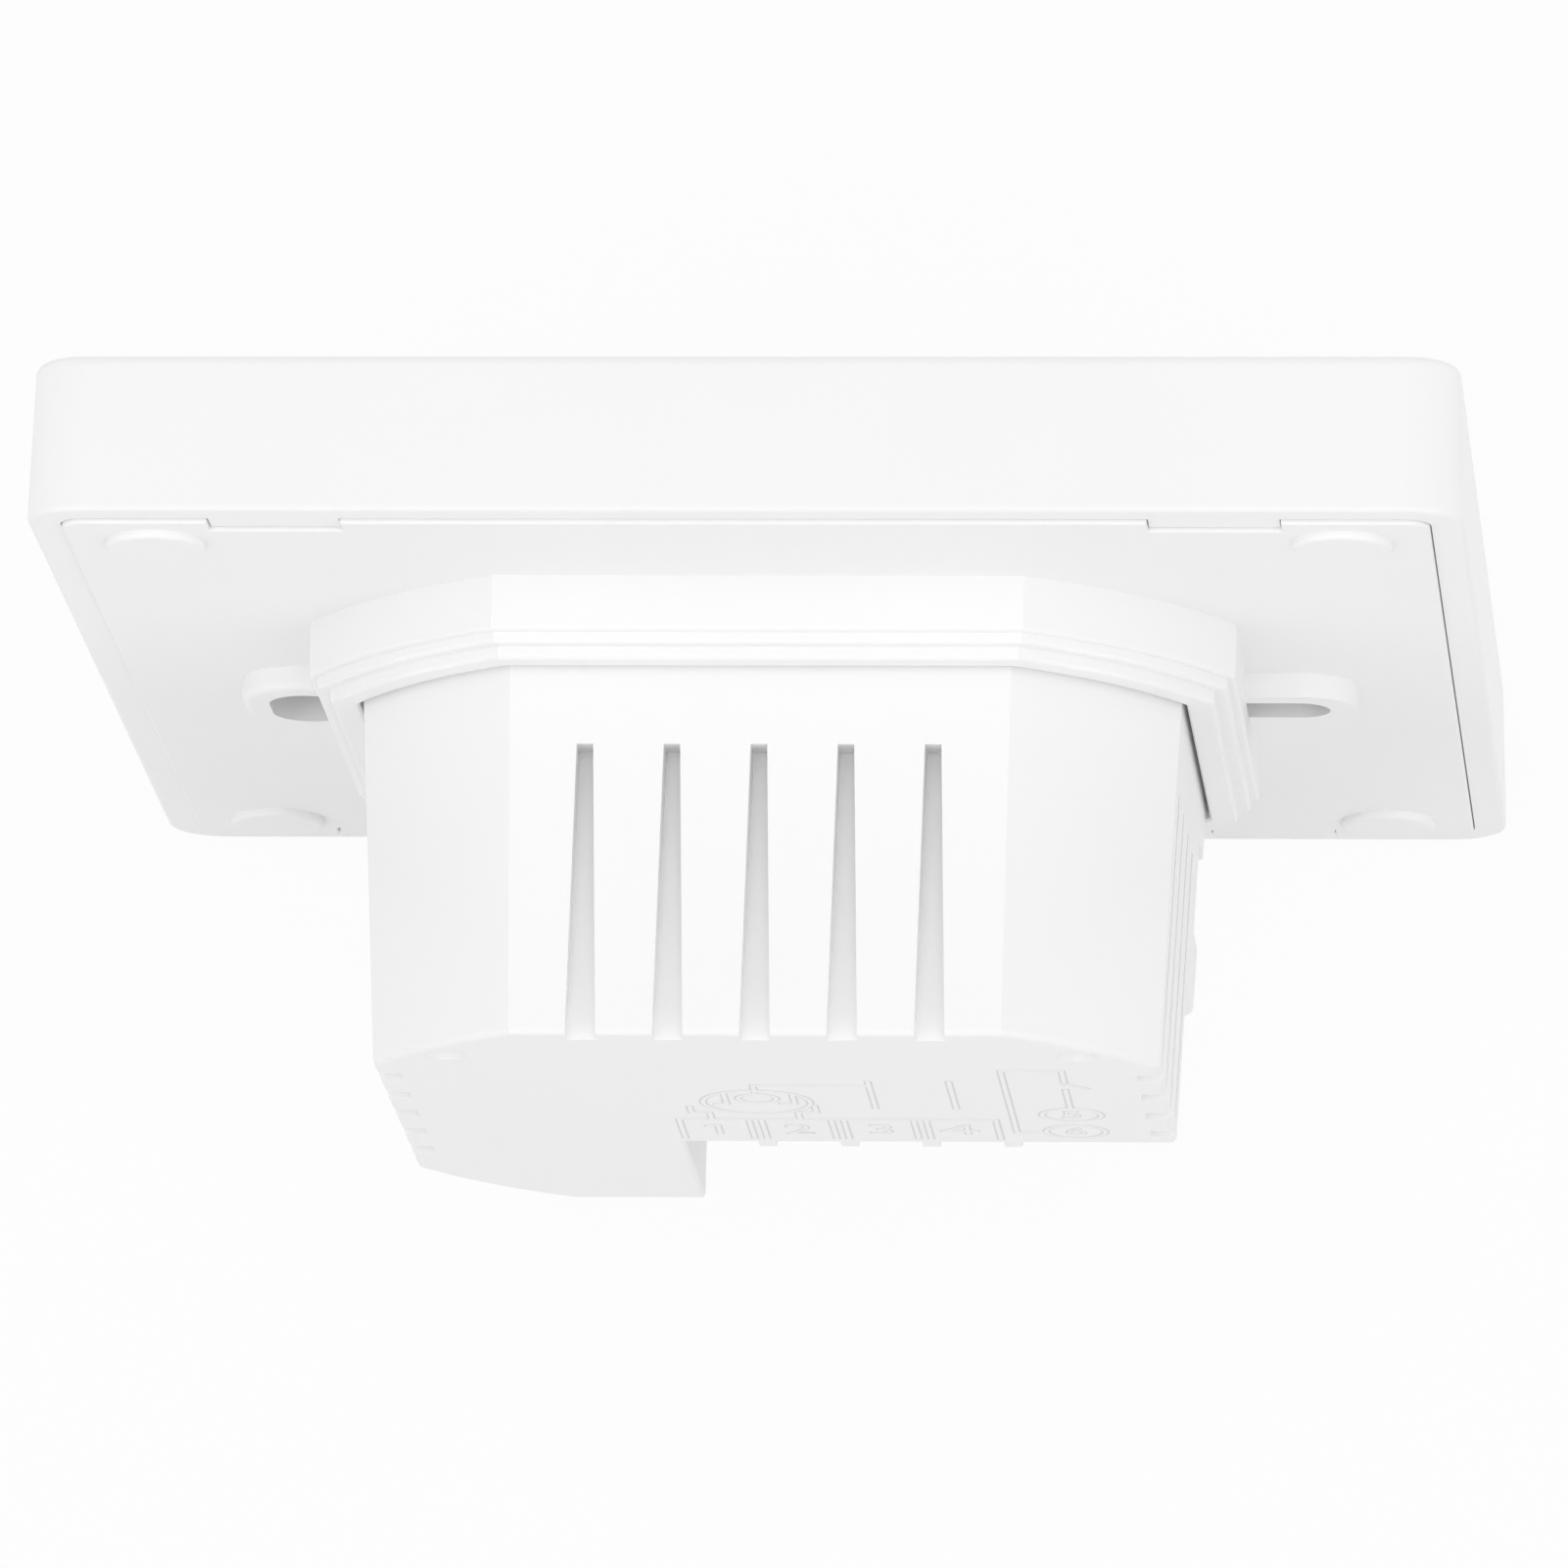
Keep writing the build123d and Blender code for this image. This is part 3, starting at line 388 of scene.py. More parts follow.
@dataclass(frozen=True)
class PrintedPanel:
    """Gloss panel printed white behind, with a clear display window and five plain key signs.

    Places and sizes of the print are in millimetres.
    """

    name: str
    white: Colour
    ink: Colour = (0.30, 0.31, 0.32)
    ink_edge: Pair = (0.4, 0.6)
    window_half: Pair = (26.0, 19.0)
    window_z: float = 7.0
    sign_z: float = -28.0
    sign_pitch: float = 13.0
    sign_radius: float = 1.9
    stroke: float = 0.34
    power_bar_share: float = 0.6
    menu_step: float = 1.2
    long_hand: Pair = (0.6, 0.75)
    short_hand: Pair = (0.45, 0.6)
    arrow_rise: float = 0.9
    arrow_half_share: float = 0.7
    gloss_scale: float = 120.0
    gloss_range: Pair = (0.03, 0.06)
    refraction: float = 1.49

    def box(self, sheet: ShaderSheet, x: Socket, z: Socket, half: Pair) -> Socket:
        """Gives 1 inside a box about the origin.

        Args:
            sheet: The material's sheet.
            x: Distance across.
            z: Distance upwards.
            half: Half the box's width and height.

        Returns:
            The mask's socket.
        """
        across = sheet.solve("LESS_THAN", sheet.solve("ABSOLUTE", x), half[0])
        along = sheet.solve("LESS_THAN", sheet.solve("ABSOLUTE", z), half[1])
        return sheet.solve("MULTIPLY", across, along)

    def ring(self, sheet: ShaderSheet, x: Socket, z: Socket) -> Socket:
        """Gives 1 on a ring about the origin.

        Args:
            sheet: The material's sheet.
            x: Distance across.
            z: Distance upwards.

        Returns:
            The mask's socket.
        """
        squares = sheet.solve("ADD", sheet.solve("MULTIPLY", x, x), sheet.solve("MULTIPLY", z, z))
        away = sheet.solve("SUBTRACT", sheet.solve("SQRT", squares), self.sign_radius)
        return sheet.solve("LESS_THAN", sheet.solve("ABSOLUTE", away), self.stroke / 2)

    def arrow(self, sheet: ShaderSheet, x: Socket, z: Socket, way: int) -> Socket:
        """Gives 1 on a bent stroke that points up or down.

        Args:
            sheet: The material's sheet.
            x: Distance across.
            z: Distance upwards.
            way: 1 for up and -1 for down.

        Returns:
            The mask's socket.
        """
        slope = sheet.solve("ADD", sheet.solve("ABSOLUTE", x), sheet.solve("MULTIPLY", z, way))
        away = sheet.solve("ABSOLUTE", sheet.solve("SUBTRACT", slope, self.arrow_rise))
        line = sheet.solve("LESS_THAN", away, self.stroke * self.arrow_half_share)
        inside = self.box(sheet, x, z, (self.sign_radius, self.sign_radius))
        return sheet.solve("MULTIPLY", line, inside)

    def sign(self, sheet: ShaderSheet, kind: KeySign, x: Socket, z: Socket) -> list[Socket]:
        """Gives the masks of one key sign.

        Args:
            sheet: The material's sheet.
            kind: The sign.
            x: Distance across from the key's middle.
            z: Distance upwards from the key's middle.

        Returns:
            Sockets that are 1 on the sign's strokes.
        """
        line = self.stroke / 2
        if kind is KeySign.POWER:
            top = sheet.solve("SUBTRACT", z, self.sign_radius)
            bar = (line, self.sign_radius * self.power_bar_share)
            return [self.ring(sheet, x, z), self.box(sheet, x, top, bar)]
        if kind is KeySign.MENU:
            rows = [sheet.solve("SUBTRACT", z, step * self.menu_step) for step in (-1, 0, 1)]
            return [self.box(sheet, x, row, (self.sign_radius, line)) for row in rows]
        if kind is KeySign.CLOCK:
            rise, high = self.long_hand
            shift, wide = self.short_hand
            return [self.ring(sheet, x, z),
                    self.box(sheet, x, sheet.solve("SUBTRACT", z, rise), (line, high)),
                    self.box(sheet, sheet.solve("SUBTRACT", x, shift), z, (wide, line))]
        return [self.arrow(sheet, x, z, 1 if kind is KeySign.UP else -1)]

    def build(self) -> bpy.types.Material:
        """Makes the material.

        Returns:
            The material.
        """
        sheet = ShaderSheet(self.name)
        split = sheet.node("SeparateXYZ")
        sheet.link(sheet.place(), split.inputs[0])
        x, z = (sheet.solve("DIVIDE", split.outputs[axis], MM) for axis in "XZ")
        up = sheet.solve("SUBTRACT", z, self.sign_z)
        masks = []
        for index, kind in enumerate(KeySign):
            middle = (index - (len(KeySign) - 1) / 2) * self.sign_pitch
            masks += self.sign(sheet, kind, sheet.solve("SUBTRACT", x, middle), up)
        signs = masks[0]
        for mask in masks[1:]:
            signs = sheet.solve("MAXIMUM", signs, mask)
        sheet.paint(signs, self.white, self.ink, self.ink_edge)
        window = self.box(sheet, x, sheet.solve("SUBTRACT", z, self.window_z), self.window_half)
        sheet.feed("Transmission Weight", window)
        sheet.dull(sheet.noise(self.gloss_scale), *self.gloss_range)
        sheet.plain(IOR=self.refraction)
        return sheet.material


class Finishes:
    """All the finishes of the thermostat, one for each slot of the record."""

    def __init__(self) -> None:
        """Makes each material once."""
        white = (0.915, 0.915, 0.915)
        recipes = {
            "white_shell": MouldedPlastic("satin_white_shell", white, 0.42),
            "white_plate": MouldedPlastic("satin_white_plate", white, 0.46),
            "white_housing": MouldedPlastic("satin_white_housing", white, 0.48),
            "white_inner": MouldedPlastic("matt_white_frame", (0.78, 0.78, 0.76), 0.5),
            "touch_panel": PrintedPanel("gloss_printed_panel", white),
            "lcd_glass": Coating("display_glass", (0.018, 0.02, 0.022), 0.08, 0.000001),
            "diffuser": Coating("frosted_light_guide", (0.82, 0.85, 0.88), 0.45),
            "elastomer": StripedElastomer("striped_connector_rubber"),
            "foam": Coating("conductive_foam", (0.10, 0.10, 0.10), 0.9, 0.0001, 2600.0, 0.4),
            "circuit_board": BoardLaminate("green_circuit_board", (0.02, 0.13, 0.05)),
            "module_board": BoardLaminate("dark_module_board", (0.012, 0.03, 0.08)),
            "tinned_steel": WorkedMetal("tinned_shield_steel", (0.72, 0.73, 0.74)),
            "screw_steel": WorkedMetal("zinc_plated_steel", (0.62, 0.64, 0.66), 0.28),
            "terminal_steel": WorkedMetal("nickel_plated_steel", (0.66, 0.65, 0.62), 0.26),
            "black_epoxy": Coating("moulded_black_epoxy", (0.022, 0.022, 0.024), 0.5,
                                   0.00002, 4200.0, 0.25),
            "black_nylon": MouldedPlastic("black_connector_nylon", (0.03, 0.03, 0.03), 0.45, 0.4),
            "gold_pins": WorkedMetal("gilded_pins", (0.90, 0.66, 0.24), 0.2),
            "tinned_brass": WorkedMetal("tinned_contact_brass", (0.70, 0.66, 0.52), 0.3),
            "relay_case": MouldedPlastic("blue_relay_case", (0.02, 0.10, 0.36), 0.35),
            "ferrite": Coating("sintered_ferrite", (0.05, 0.05, 0.055), 0.6,
                               0.00005, 2400.0, 0.3),
            "winding_tape": Coating("yellow_winding_tape", (0.80, 0.56, 0.05), 0.18,
                                    0.00004, 500.0),
            "capacitor_sleeve": Coating("shrunk_sleeve", (0.02, 0.025, 0.05), 0.25),
            "film_capacitor": Coating("yellow_film_case", (0.78, 0.55, 0.06), 0.25),
            "varistor_coat": Coating("dipped_blue_disc", (0.02, 0.11, 0.42), 0.3,
                                     0.00004, 700.0),
            "fuse_case": Coating("brown_fuse_case", (0.16, 0.06, 0.03), 0.3),
            "terminal_plastic": MouldedPlastic("pale_terminal_plastic", (0.80, 0.81, 0.80), 0.42),
        }
        self.made = {slot: recipe.build() for slot, recipe in recipes.items()}
        # Feet of the wiring diagram's lines: a rougher white, darkened to 0.78 as painted shade,
        # the shade that gathers at the feet of raised lines.
        self.painted_shade_feet = MouldedPlastic("painted_shade_relief_feet", shade(white, 0.78), 0.6).build()
        self.segments = Coating("pale_display_segments", (0.62, 0.70, 0.74), 0.4,
                                0.000001, 900.0, 0.03).build()
        self.ceramic = Coating("tan_chip_ceramic", (0.46, 0.33, 0.20), 0.5,
                               0.00001, 3000.0, 0.12).build()

    def dress_nodes(self) -> None:
        """Gives every CAD node the finish of its slot."""
        for part in frame["record"]["subparts"]:
            node = frame["nodes"][part["node"]]
            node.data.materials.clear()
            node.data.materials.append(self.made[part["material_slot"]])
            LOG.info("dressed %s in %s", node.name, part["material_slot"])


# Modelling by hand

def pick(*pieces: Piece) -> None:
    """Leaves object mode with only some pieces selected, the first of them active.

    Args:
        pieces: The pieces, or none to clear the selection.
    """
    if bpy.context.object and bpy.context.object.mode != "OBJECT":
        bpy.ops.object.mode_set(mode="OBJECT")
    bpy.ops.object.select_all(action="DESELECT")
    for piece in pieces:
        piece.select_set(True)
        bpy.context.view_layer.objects.active = pieces[0]


def settle(piece: Piece) -> None:
    """Moves a piece's place, turn and size into its mesh."""
    pick(piece)
    bpy.ops.object.transform_apply(location=True, rotation=True, scale=True)


def soften(piece: Piece, width: float) -> None:
    """Breaks a piece's sharp edges with a bevel that is applied.

    Args:
        piece: The piece.
        width: Width of the bevel in metres.
    """
    bpy.context.view_layer.objects.active = piece
    bpy.ops.object.modifier_add(type="BEVEL")
    bevel = piece.modifiers[-1]
    bevel.width = width
    bevel.segments = 1
    bevel.limit_method = "ANGLE"
    bpy.ops.object.modifier_apply(modifier=bevel.name)


def join(pieces: list[Piece], name: str) -> Piece:
    """Joins pieces into one.

    Args:
        pieces: Pieces to join.
        name: Name of the result.

    Returns:
        The joined piece.
    """
    pick(*pieces)
    if len(pieces) > 1:
        bpy.ops.object.join()
    pieces[0].name = name
    pieces[0].data.name = name
    return pieces[0]


def block(size: Point, centre: Point, edge: float) -> Piece:
    """Models a small box with bevelled edges.

    Args:
        size: Size along X, Y and Z in millimetres.
        centre: Centre in millimetres.
        edge: Width of the bevel in millimetres.

    Returns:
        The box.
    """
    pick()
    bpy.ops.mesh.primitive_cube_add(size=1, location=[value * MM for value in centre])
    piece = bpy.context.object
    piece.scale = [value * MM for value in size]
    settle(piece)
    soften(piece, edge * MM)
    return piece


def push_face(piece: Piece, towards: Point, move: Point,
              squeeze: Point = (1.0, 1.0, 1.0)) -> None:
    """Extrudes the face that lies farthest one way.

    Args:
        piece: The piece.
        towards: Direction in which the face is looked for.
        move: Path of the extrusion in millimetres.
        squeeze: Scale of the new face about its centre.
    """
    pick(piece)
    way = Vector(towards)
    last = max(piece.data.polygons,
               key=lambda face: (round(face.center.dot(way), 7), face.normal.dot(way)))
    for face in piece.data.polygons:
        face.select = face == last
    centre = last.center + Vector(move) * MM
    bpy.ops.object.mode_set(mode="EDIT")
    bpy.ops.mesh.select_mode(type="FACE")
    bpy.ops.mesh.extrude_region_move(TRANSFORM_OT_translate={"value": Vector(move) * MM})
    bpy.ops.transform.resize(value=squeeze, center_override=centre)
    bpy.ops.object.mode_set(mode="OBJECT")


def spread_copies(master: Piece, places: list[Matrix], name: str) -> Piece:
    """Copies a piece to several places and joins the copies.

    Args:
        master: The piece, which is used up.
        places: One matrix for each copy, in metres.
        name: Name of the result.

    Returns:
        The joined copies.
    """
    copies = []
    for place in places:
        copy = master.copy()
        copy.data = master.data.copy()
        copy.data.transform(place)
        bpy.context.scene.collection.objects.link(copy)
        copies.append(copy)
    bpy.data.objects.remove(master, do_unlink=True)
    return join(copies, name)


def spot(x: float, y: float, z: float, turn: float = 0.0) -> Matrix:
    """Gives the matrix of a place in millimetres, turned about Y by degrees."""
    turned = Matrix.Rotation(math.radians(turn), 4, "Y")
    return Matrix.Translation((x * MM, y * MM, z * MM)) @ turned


def fix(piece: Piece, finish: bpy.types.Material, body: Body) -> None:
    """Finishes a piece and fixes it to a body.

    Args:
        piece: The piece.
        finish: Its material.
        body: Body that it rides on.
    """
    piece.data.materials.clear()
    piece.data.materials.append(finish)
    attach(piece, body.value)
    LOG.info("modelled %s", piece.name)


# Studio

@dataclass(frozen=True)
class PhotographCamera:
    """Camera fitted to the photograph, in metres of the frame."""

    eye: Point = (-0.0785, 0.2491, 1.0271)
    right: Point = (-0.9972, -0.0192, -0.0720)
    down: Point = (-0.0021, 0.9732, -0.2300)
    forward: Point = (0.0745, -0.2292, -0.9705)
    focal_pixels: float = 17482.3
    picture_pixels: float = 1601.0
    sensor: float = 36.0
    clip: Pair = (0.02, 20.0)

    def build(self) -> None:
        """Makes the camera the scene's own."""
        data = bpy.data.cameras.new("photograph_camera")
        data.sensor_width = self.sensor
        data.lens = self.focal_pixels / self.picture_pixels * self.sensor
        data.clip_start, data.clip_end = self.clip
        camera = bpy.data.objects.new("photograph_camera", data)
        bpy.context.scene.collection.objects.link(camera)
        axes = (Vector(self.right), -Vector(self.down), -Vector(self.forward))
        turn = Matrix(axes).transposed()
        camera.matrix_world = Matrix.Translation(self.eye) @ turn.to_4x4()
        bpy.context.scene.camera = camera


@dataclass(frozen=True)
class SoftLamp:
    """Square softbox that faces the thermostat."""

    name: str
    place: Point
    size: float
    power: float

    def build(self) -> None:
        """Hangs the lamp and turns it to the object."""
        data = bpy.data.lights.new(self.name, "AREA")
        data.size = self.size
        data.energy = self.power
        lamp = bpy.data.objects.new(self.name, data)
        bpy.context.scene.collection.objects.link(lamp)
        lamp.location = self.place
        lamp.rotation_euler = (-Vector(self.place)).to_track_quat("-Z", "Y").to_euler()


@dataclass(frozen=True)
class Studio:
    """White studio: pale floor that stays white to the camera, soft dome and softboxes."""

    floor_half: float = 3.0
    floor_drop: float = 0.0001
    floor_colour: Colour = (0.8, 0.8, 0.8)
    floor_tone: float = 0.985
    floor_cloud: float = 6.0
    floor_roughness: float = 0.8
    floor_specular: float = 0.1
    floor_glow: float = 0.93
    dome: float = 0.66
    lamps: tuple[SoftLamp, ...] = (
        SoftLamp("overhead_softbox", (-0.03, 0.1, 0.95), 0.6, 1.7),
        SoftLamp("left_softbox", (0.62, 0.52, 0.5), 0.7, 1.6),
        SoftLamp("right_softbox", (-0.62, 0.52, 0.5), 0.7, 1.6),
        SoftLamp("room_left_softbox", (0.62, -0.7, 0.1), 0.35, 0.9),
        SoftLamp("room_right_softbox", (-0.62, -0.7, 0.1), 0.35, 0.9),
    )

    def white_to_camera(self, sheet: NodeSheet, body: Socket, output: Socket,
                        share: float) -> None:
        """Mixes white light into a surface or world, for what the camera sees of it.

        Args:
            sheet: Sheet of the surface or world.
            body: Shader for all other rays.
            output: Socket that takes the result.
            share: Share of plain white that the camera sees.
        """
        rays = sheet.node("LightPath").outputs
        seen = rays["Is Camera Ray"]
        for name in ("Is Glossy Ray", "Is Transmission Ray"):
            seen = sheet.solve("MAXIMUM", seen, rays[name])
        kind = "Background" if output.node.type == "OUTPUT_WORLD" else "Emission"
        white = sheet.node(kind, {"Color": (1.0, 1.0, 1.0, 1.0)})
        mix = sheet.node("MixShader")
        sources = (sheet.solve("MULTIPLY", seen, share), body, white.outputs[0])
        for source, target in zip(sources, mix.inputs):
            sheet.link(source, target)
        sheet.link(mix.outputs[0], output)

    def lay_floor(self) -> None:
        """Lays the pale floor under the thermostat."""
        pick()
        bottom = min(corner[2] for corner in cad_bounds)
        bpy.ops.mesh.primitive_plane_add(size=2 * self.floor_half,
                                         location=(0, 0, bottom - self.floor_drop))
        floor = bpy.context.object
        floor.name = "pale_floor"
        settle(floor)
        sheet = ShaderSheet("pale_floor")
        sheet.paint(sheet.noise(self.floor_cloud), shade(self.floor_colour, self.floor_tone),
                    self.floor_colour)
        sheet.plain(Roughness=self.floor_roughness, Specular_IOR_Level=self.floor_specular)
        surface = sheet.tree.nodes["Material Output"].inputs["Surface"]
        self.white_to_camera(sheet, sheet.shader.outputs[0], surface, self.floor_glow)
        floor.data.materials.append(sheet.material)

    def build(self) -> None:
        """Lays the floor and sets the lights."""
        self.lay_floor()
        world = bpy.data.worlds.new("soft_dome")
        world.use_nodes = True
        bpy.context.scene.world = world
        dome = world.node_tree.nodes["Background"]
        dome.inputs["Color"].default_value = (1.0, 1.0, 1.0, 1.0)
        dome.inputs["Strength"].default_value = self.dome
        surface = world.node_tree.nodes["World Output"].inputs["Surface"]
        self.white_to_camera(NodeSheet(world.node_tree), dome.outputs[0], surface, 1.0)
        for lamp in self.lamps:
            lamp.build()
        bpy.context.scene.view_settings.view_transform = "Standard"


# Wiring diagram on the housing's rear face

@dataclass
class WiringRelief:
    """Raised wiring diagram on the rear face: ridges, circles and plain numbers, in millimetres.

    Each line has a light core that stands on a wider and lower foot with a rougher finish. The
    foot's darker colour is painted shade, the shade that gathers at the feet of raised lines. A
    path of the diagram is given by X and Z of its corners.
    """

    face: float = 27.7
    sink: float = 0.06
    core_height: float = 0.03
    core_width: float = 0.26
    foot_height: float = 0.01
    foot_width: float = 0.5
    height_step: float = 0.0004
    height_steps: int = 13
    end_share: float = 0.9
    edge_share: float = 0.15
    ring_sides: int = 72
    curve_steps: int = 5
    box_pitch: float = 5.08
    box_width: float = 4.31
    box_count: int = 4
    box_top: float = -0.15
    box_bottom: float = -5.6
    first_box: float = 4.27
    # The 1 and the 4 are drawn with ridges of their own, at the end of the paths below.
    typed_boxes: tuple[int, ...] = (1, 2)
    number_size: float = 3.9
    number_z: float = -3.1
    core_growth: float = -0.06
    foot_growth: float = 0.06
    circles: tuple[Point, ...] = ((1.25, 4.85, 3.3), (1.15, 5.9, 1.18))
    contact_x: float = -17.88
    contact_radius: float = 1.83
    contact_size: float = 2.9
    contacts: tuple[tuple[str, float], ...] = (("5", 1.4), ("6", -3.46))
    paths: tuple[tuple[Pair, ...], ...] = (
        ((-10.9, 3.2), (-10.9, 10.85)), ((-5.95, 3.2), (-5.95, 10.8)),
        ((-5.95, 9.6), (1.17, 9.6), (1.17, 7.8)), ((3.13, 7.3), (3.13, 4.3), (3.75, 4.3)),
        ((-1.07, 7.3), (-1.07, 4.5), (-0.3, 4.5)),
        ((5.49, 3.56), (5.49, 1.8), (4.38, 1.8), (4.38, -0.15)),
        ((-2.22, 3.9), (-2.22, 1.98), (-1.08, 1.98), (-1.08, -0.15)),
        ((-14.23, 14.0), (-14.23, -3.66)), ((-14.23, 14.0), (-17.95, 14.0), (-17.95, 10.75)),
        ((-18.05, 10.15), (-19.2, 9.05)), ((-17.9, 8.7), (-17.9, 3.4)),
        ((-14.23, -3.66), (-15.9, -3.66)), ((4.15, -1.95), (4.15, -4.2)),
        ((4.15, -1.95), (4.8, -2.05)), ((-11.2, -1.8), (-11.2, -4.15)),
        ((-9.75, -3.35), (-11.75, -3.35)), ((-9.75, -3.35), (-11.2, -1.8)),
    )

    def __post_init__(self) -> None:
        """Starts the lists of finished lines."""
        self.cores: list[Piece] = []
        self.feet: list[Piece] = []
        self.count = 0

    def lift(self, height: float) -> float:
        """Gives a height of its own to each line, so that lines that cross share no plane."""
        self.count += 1
        return height + self.height_step * (self.count % self.height_steps)

    def bar(self, start: Pair, end: Pair, width: float, height: float) -> Piece:
        """Models one straight bar on the face.

        Args:
            start: X and Z of one end.
            end: X and Z of the other end.
            width: Width of the bar.
            height: Height above the face.

        Returns:
            The bar.
        """
        run = Vector((end[0] - start[0], end[1] - start[1]))
        top = self.lift(height)
        middle = ((start[0] + end[0]) / 2 * MM, (self.face + (top - self.sink) / 2) * MM,
                  (start[1] + end[1]) / 2 * MM)
        pick()
        bpy.ops.mesh.primitive_cube_add(size=1, location=middle)
        piece = bpy.context.object
        piece.scale = ((run.length + self.end_share * width) * MM, (top + self.sink) * MM,
                       width * MM)
        piece.rotation_euler = (0.0, -math.atan2(run.y, run.x), 0.0)
        settle(piece)
        soften(piece, self.edge_share * height * MM)
        return piece

    def ridge(self, start: Pair, end: Pair) -> None:
        """Models a straight line with its foot between two places, each given by X and Z."""
        self.cores.append(self.bar(start, end, self.core_width, self.core_height))
        self.feet.append(self.bar(start, end, self.foot_width, self.foot_height))

    def ring(self, x: float, z: float, radius: float, width: float, height: float) -> Piece:
        """Models one flat ring on the face.

        Args:
            x: Centre across.
            z: Centre upwards.
            radius: Radius of the ring's middle line.
            width: Width of the ring.
            height: Height above the face.

        Returns:
            The ring.
        """
        top = self.lift(height)
        centre = (x * MM, (self.face + top) * MM, z * MM)
        inner, outer = radius - width / 2, radius + width / 2
        pick()
        bpy.ops.mesh.primitive_circle_add(vertices=self.ring_sides, radius=inner * MM,
                                          location=centre, rotation=(math.radians(90), 0, 0))
        piece = bpy.context.object
        settle(piece)
        grow = outer / inner
        down = (0, -(top + self.sink) * MM, 0)
        bpy.ops.object.mode_set(mode="EDIT")
        bpy.ops.mesh.select_all(action="SELECT")
        bpy.ops.mesh.extrude_region_move()
        bpy.ops.transform.resize(value=(grow, 1.0, grow), center_override=centre)
        bpy.ops.mesh.select_all(action="SELECT")
        bpy.ops.mesh.extrude_region_move(TRANSFORM_OT_translate={"value": down})
        bpy.ops.mesh.select_all(action="SELECT")
        bpy.ops.mesh.normals_make_consistent(inside=False)
        bpy.ops.object.mode_set(mode="OBJECT")
        return piece

    def circle(self, x: float, z: float, radius: float) -> None:
        """Models a round line with its foot, about a centre and with a radius."""
        self.cores.append(self.ring(x, z, radius, self.core_width, self.core_height))
        self.feet.append(self.ring(x, z, radius, self.foot_width, self.foot_height))

    def digits(self, text: str, place: Pair, size: float, growth: float, height: float) -> Piece:
        """Models digits that read from the wall side.

        Args:
            text: The digits.
            place: X and Z of their middle.
            size: Font size.
            growth: Growth of the outline.
            height: Height above the face.

        Returns:
            The digits.
        """
        top = self.lift(height)
        pick()
        bpy.ops.object.text_add()
        letters = bpy.context.object.data
        letters.body = text
        letters.size = size * MM
        letters.align_x = "CENTER"
        letters.align_y = "CENTER"
        letters.offset = growth * MM
        letters.extrude = (top + self.sink) / 2 * MM
        letters.resolution_u = self.curve_steps
        bpy.ops.object.convert(target="MESH")
        piece = bpy.context.object
        piece.rotation_euler = (math.radians(90), 0, math.radians(180))
        piece.location = (place[0] * MM, (self.face + (top - self.sink) / 2) * MM, place[1] * MM)
        settle(piece)
        return piece

    def number(self, text: str, x: float, z: float, size: float) -> None:
        """Models a plain number with its foot, about a middle and with a font size."""
        self.cores.append(self.digits(text, (x, z), size, self.core_growth, self.core_height))
        self.feet.append(self.digits(text, (x, z), size, self.foot_growth, self.foot_height))

    def build(self) -> None:
        """Models the whole diagram."""
        half = self.box_width / 2
        for index in range(self.box_count):
            middle = self.first_box - index * self.box_pitch
            self.ridge((middle + half, self.box_bottom), (middle + half, self.box_top))
            self.ridge((middle - half, self.box_top), (middle - half, self.box_bottom))
            if index in self.typed_boxes:
                self.number(str(index + 1), middle, self.number_z, self.number_size)
        last = self.first_box - (self.box_count - 1) * self.box_pitch
        self.ridge((self.first_box + half, self.box_top), (last - half, self.box_top))
        for path in self.paths:
            for start, end in zip(path, path[1:]):
                self.ridge(start, end)
        for x, z, radius in self.circles:
            self.circle(x, z, radius)
        for text, z in self.contacts:
            self.circle(self.contact_x, z, self.contact_radius)
            self.number(text, self.contact_x, z, self.contact_size)

    def dress(self, finishes: Finishes) -> None:
        """Joins the lines into two pieces, finishes them and fixes them to the housing.

        Args:
            finishes: The finishes.
        """
        housing = finishes.made[Slot.HOUSING.value]
        # The feet take the darker material, which is painted shade at the feet of the raised
        # lines.
        for lines, name, finish in ((self.cores, "wiring_diagram_ridges", housing),
                                    (self.feet, "wiring_diagram_painted_shade_feet", finishes.painted_shade_feet)):
            fix(join(lines, name), finish, Body.WALL)


# Display

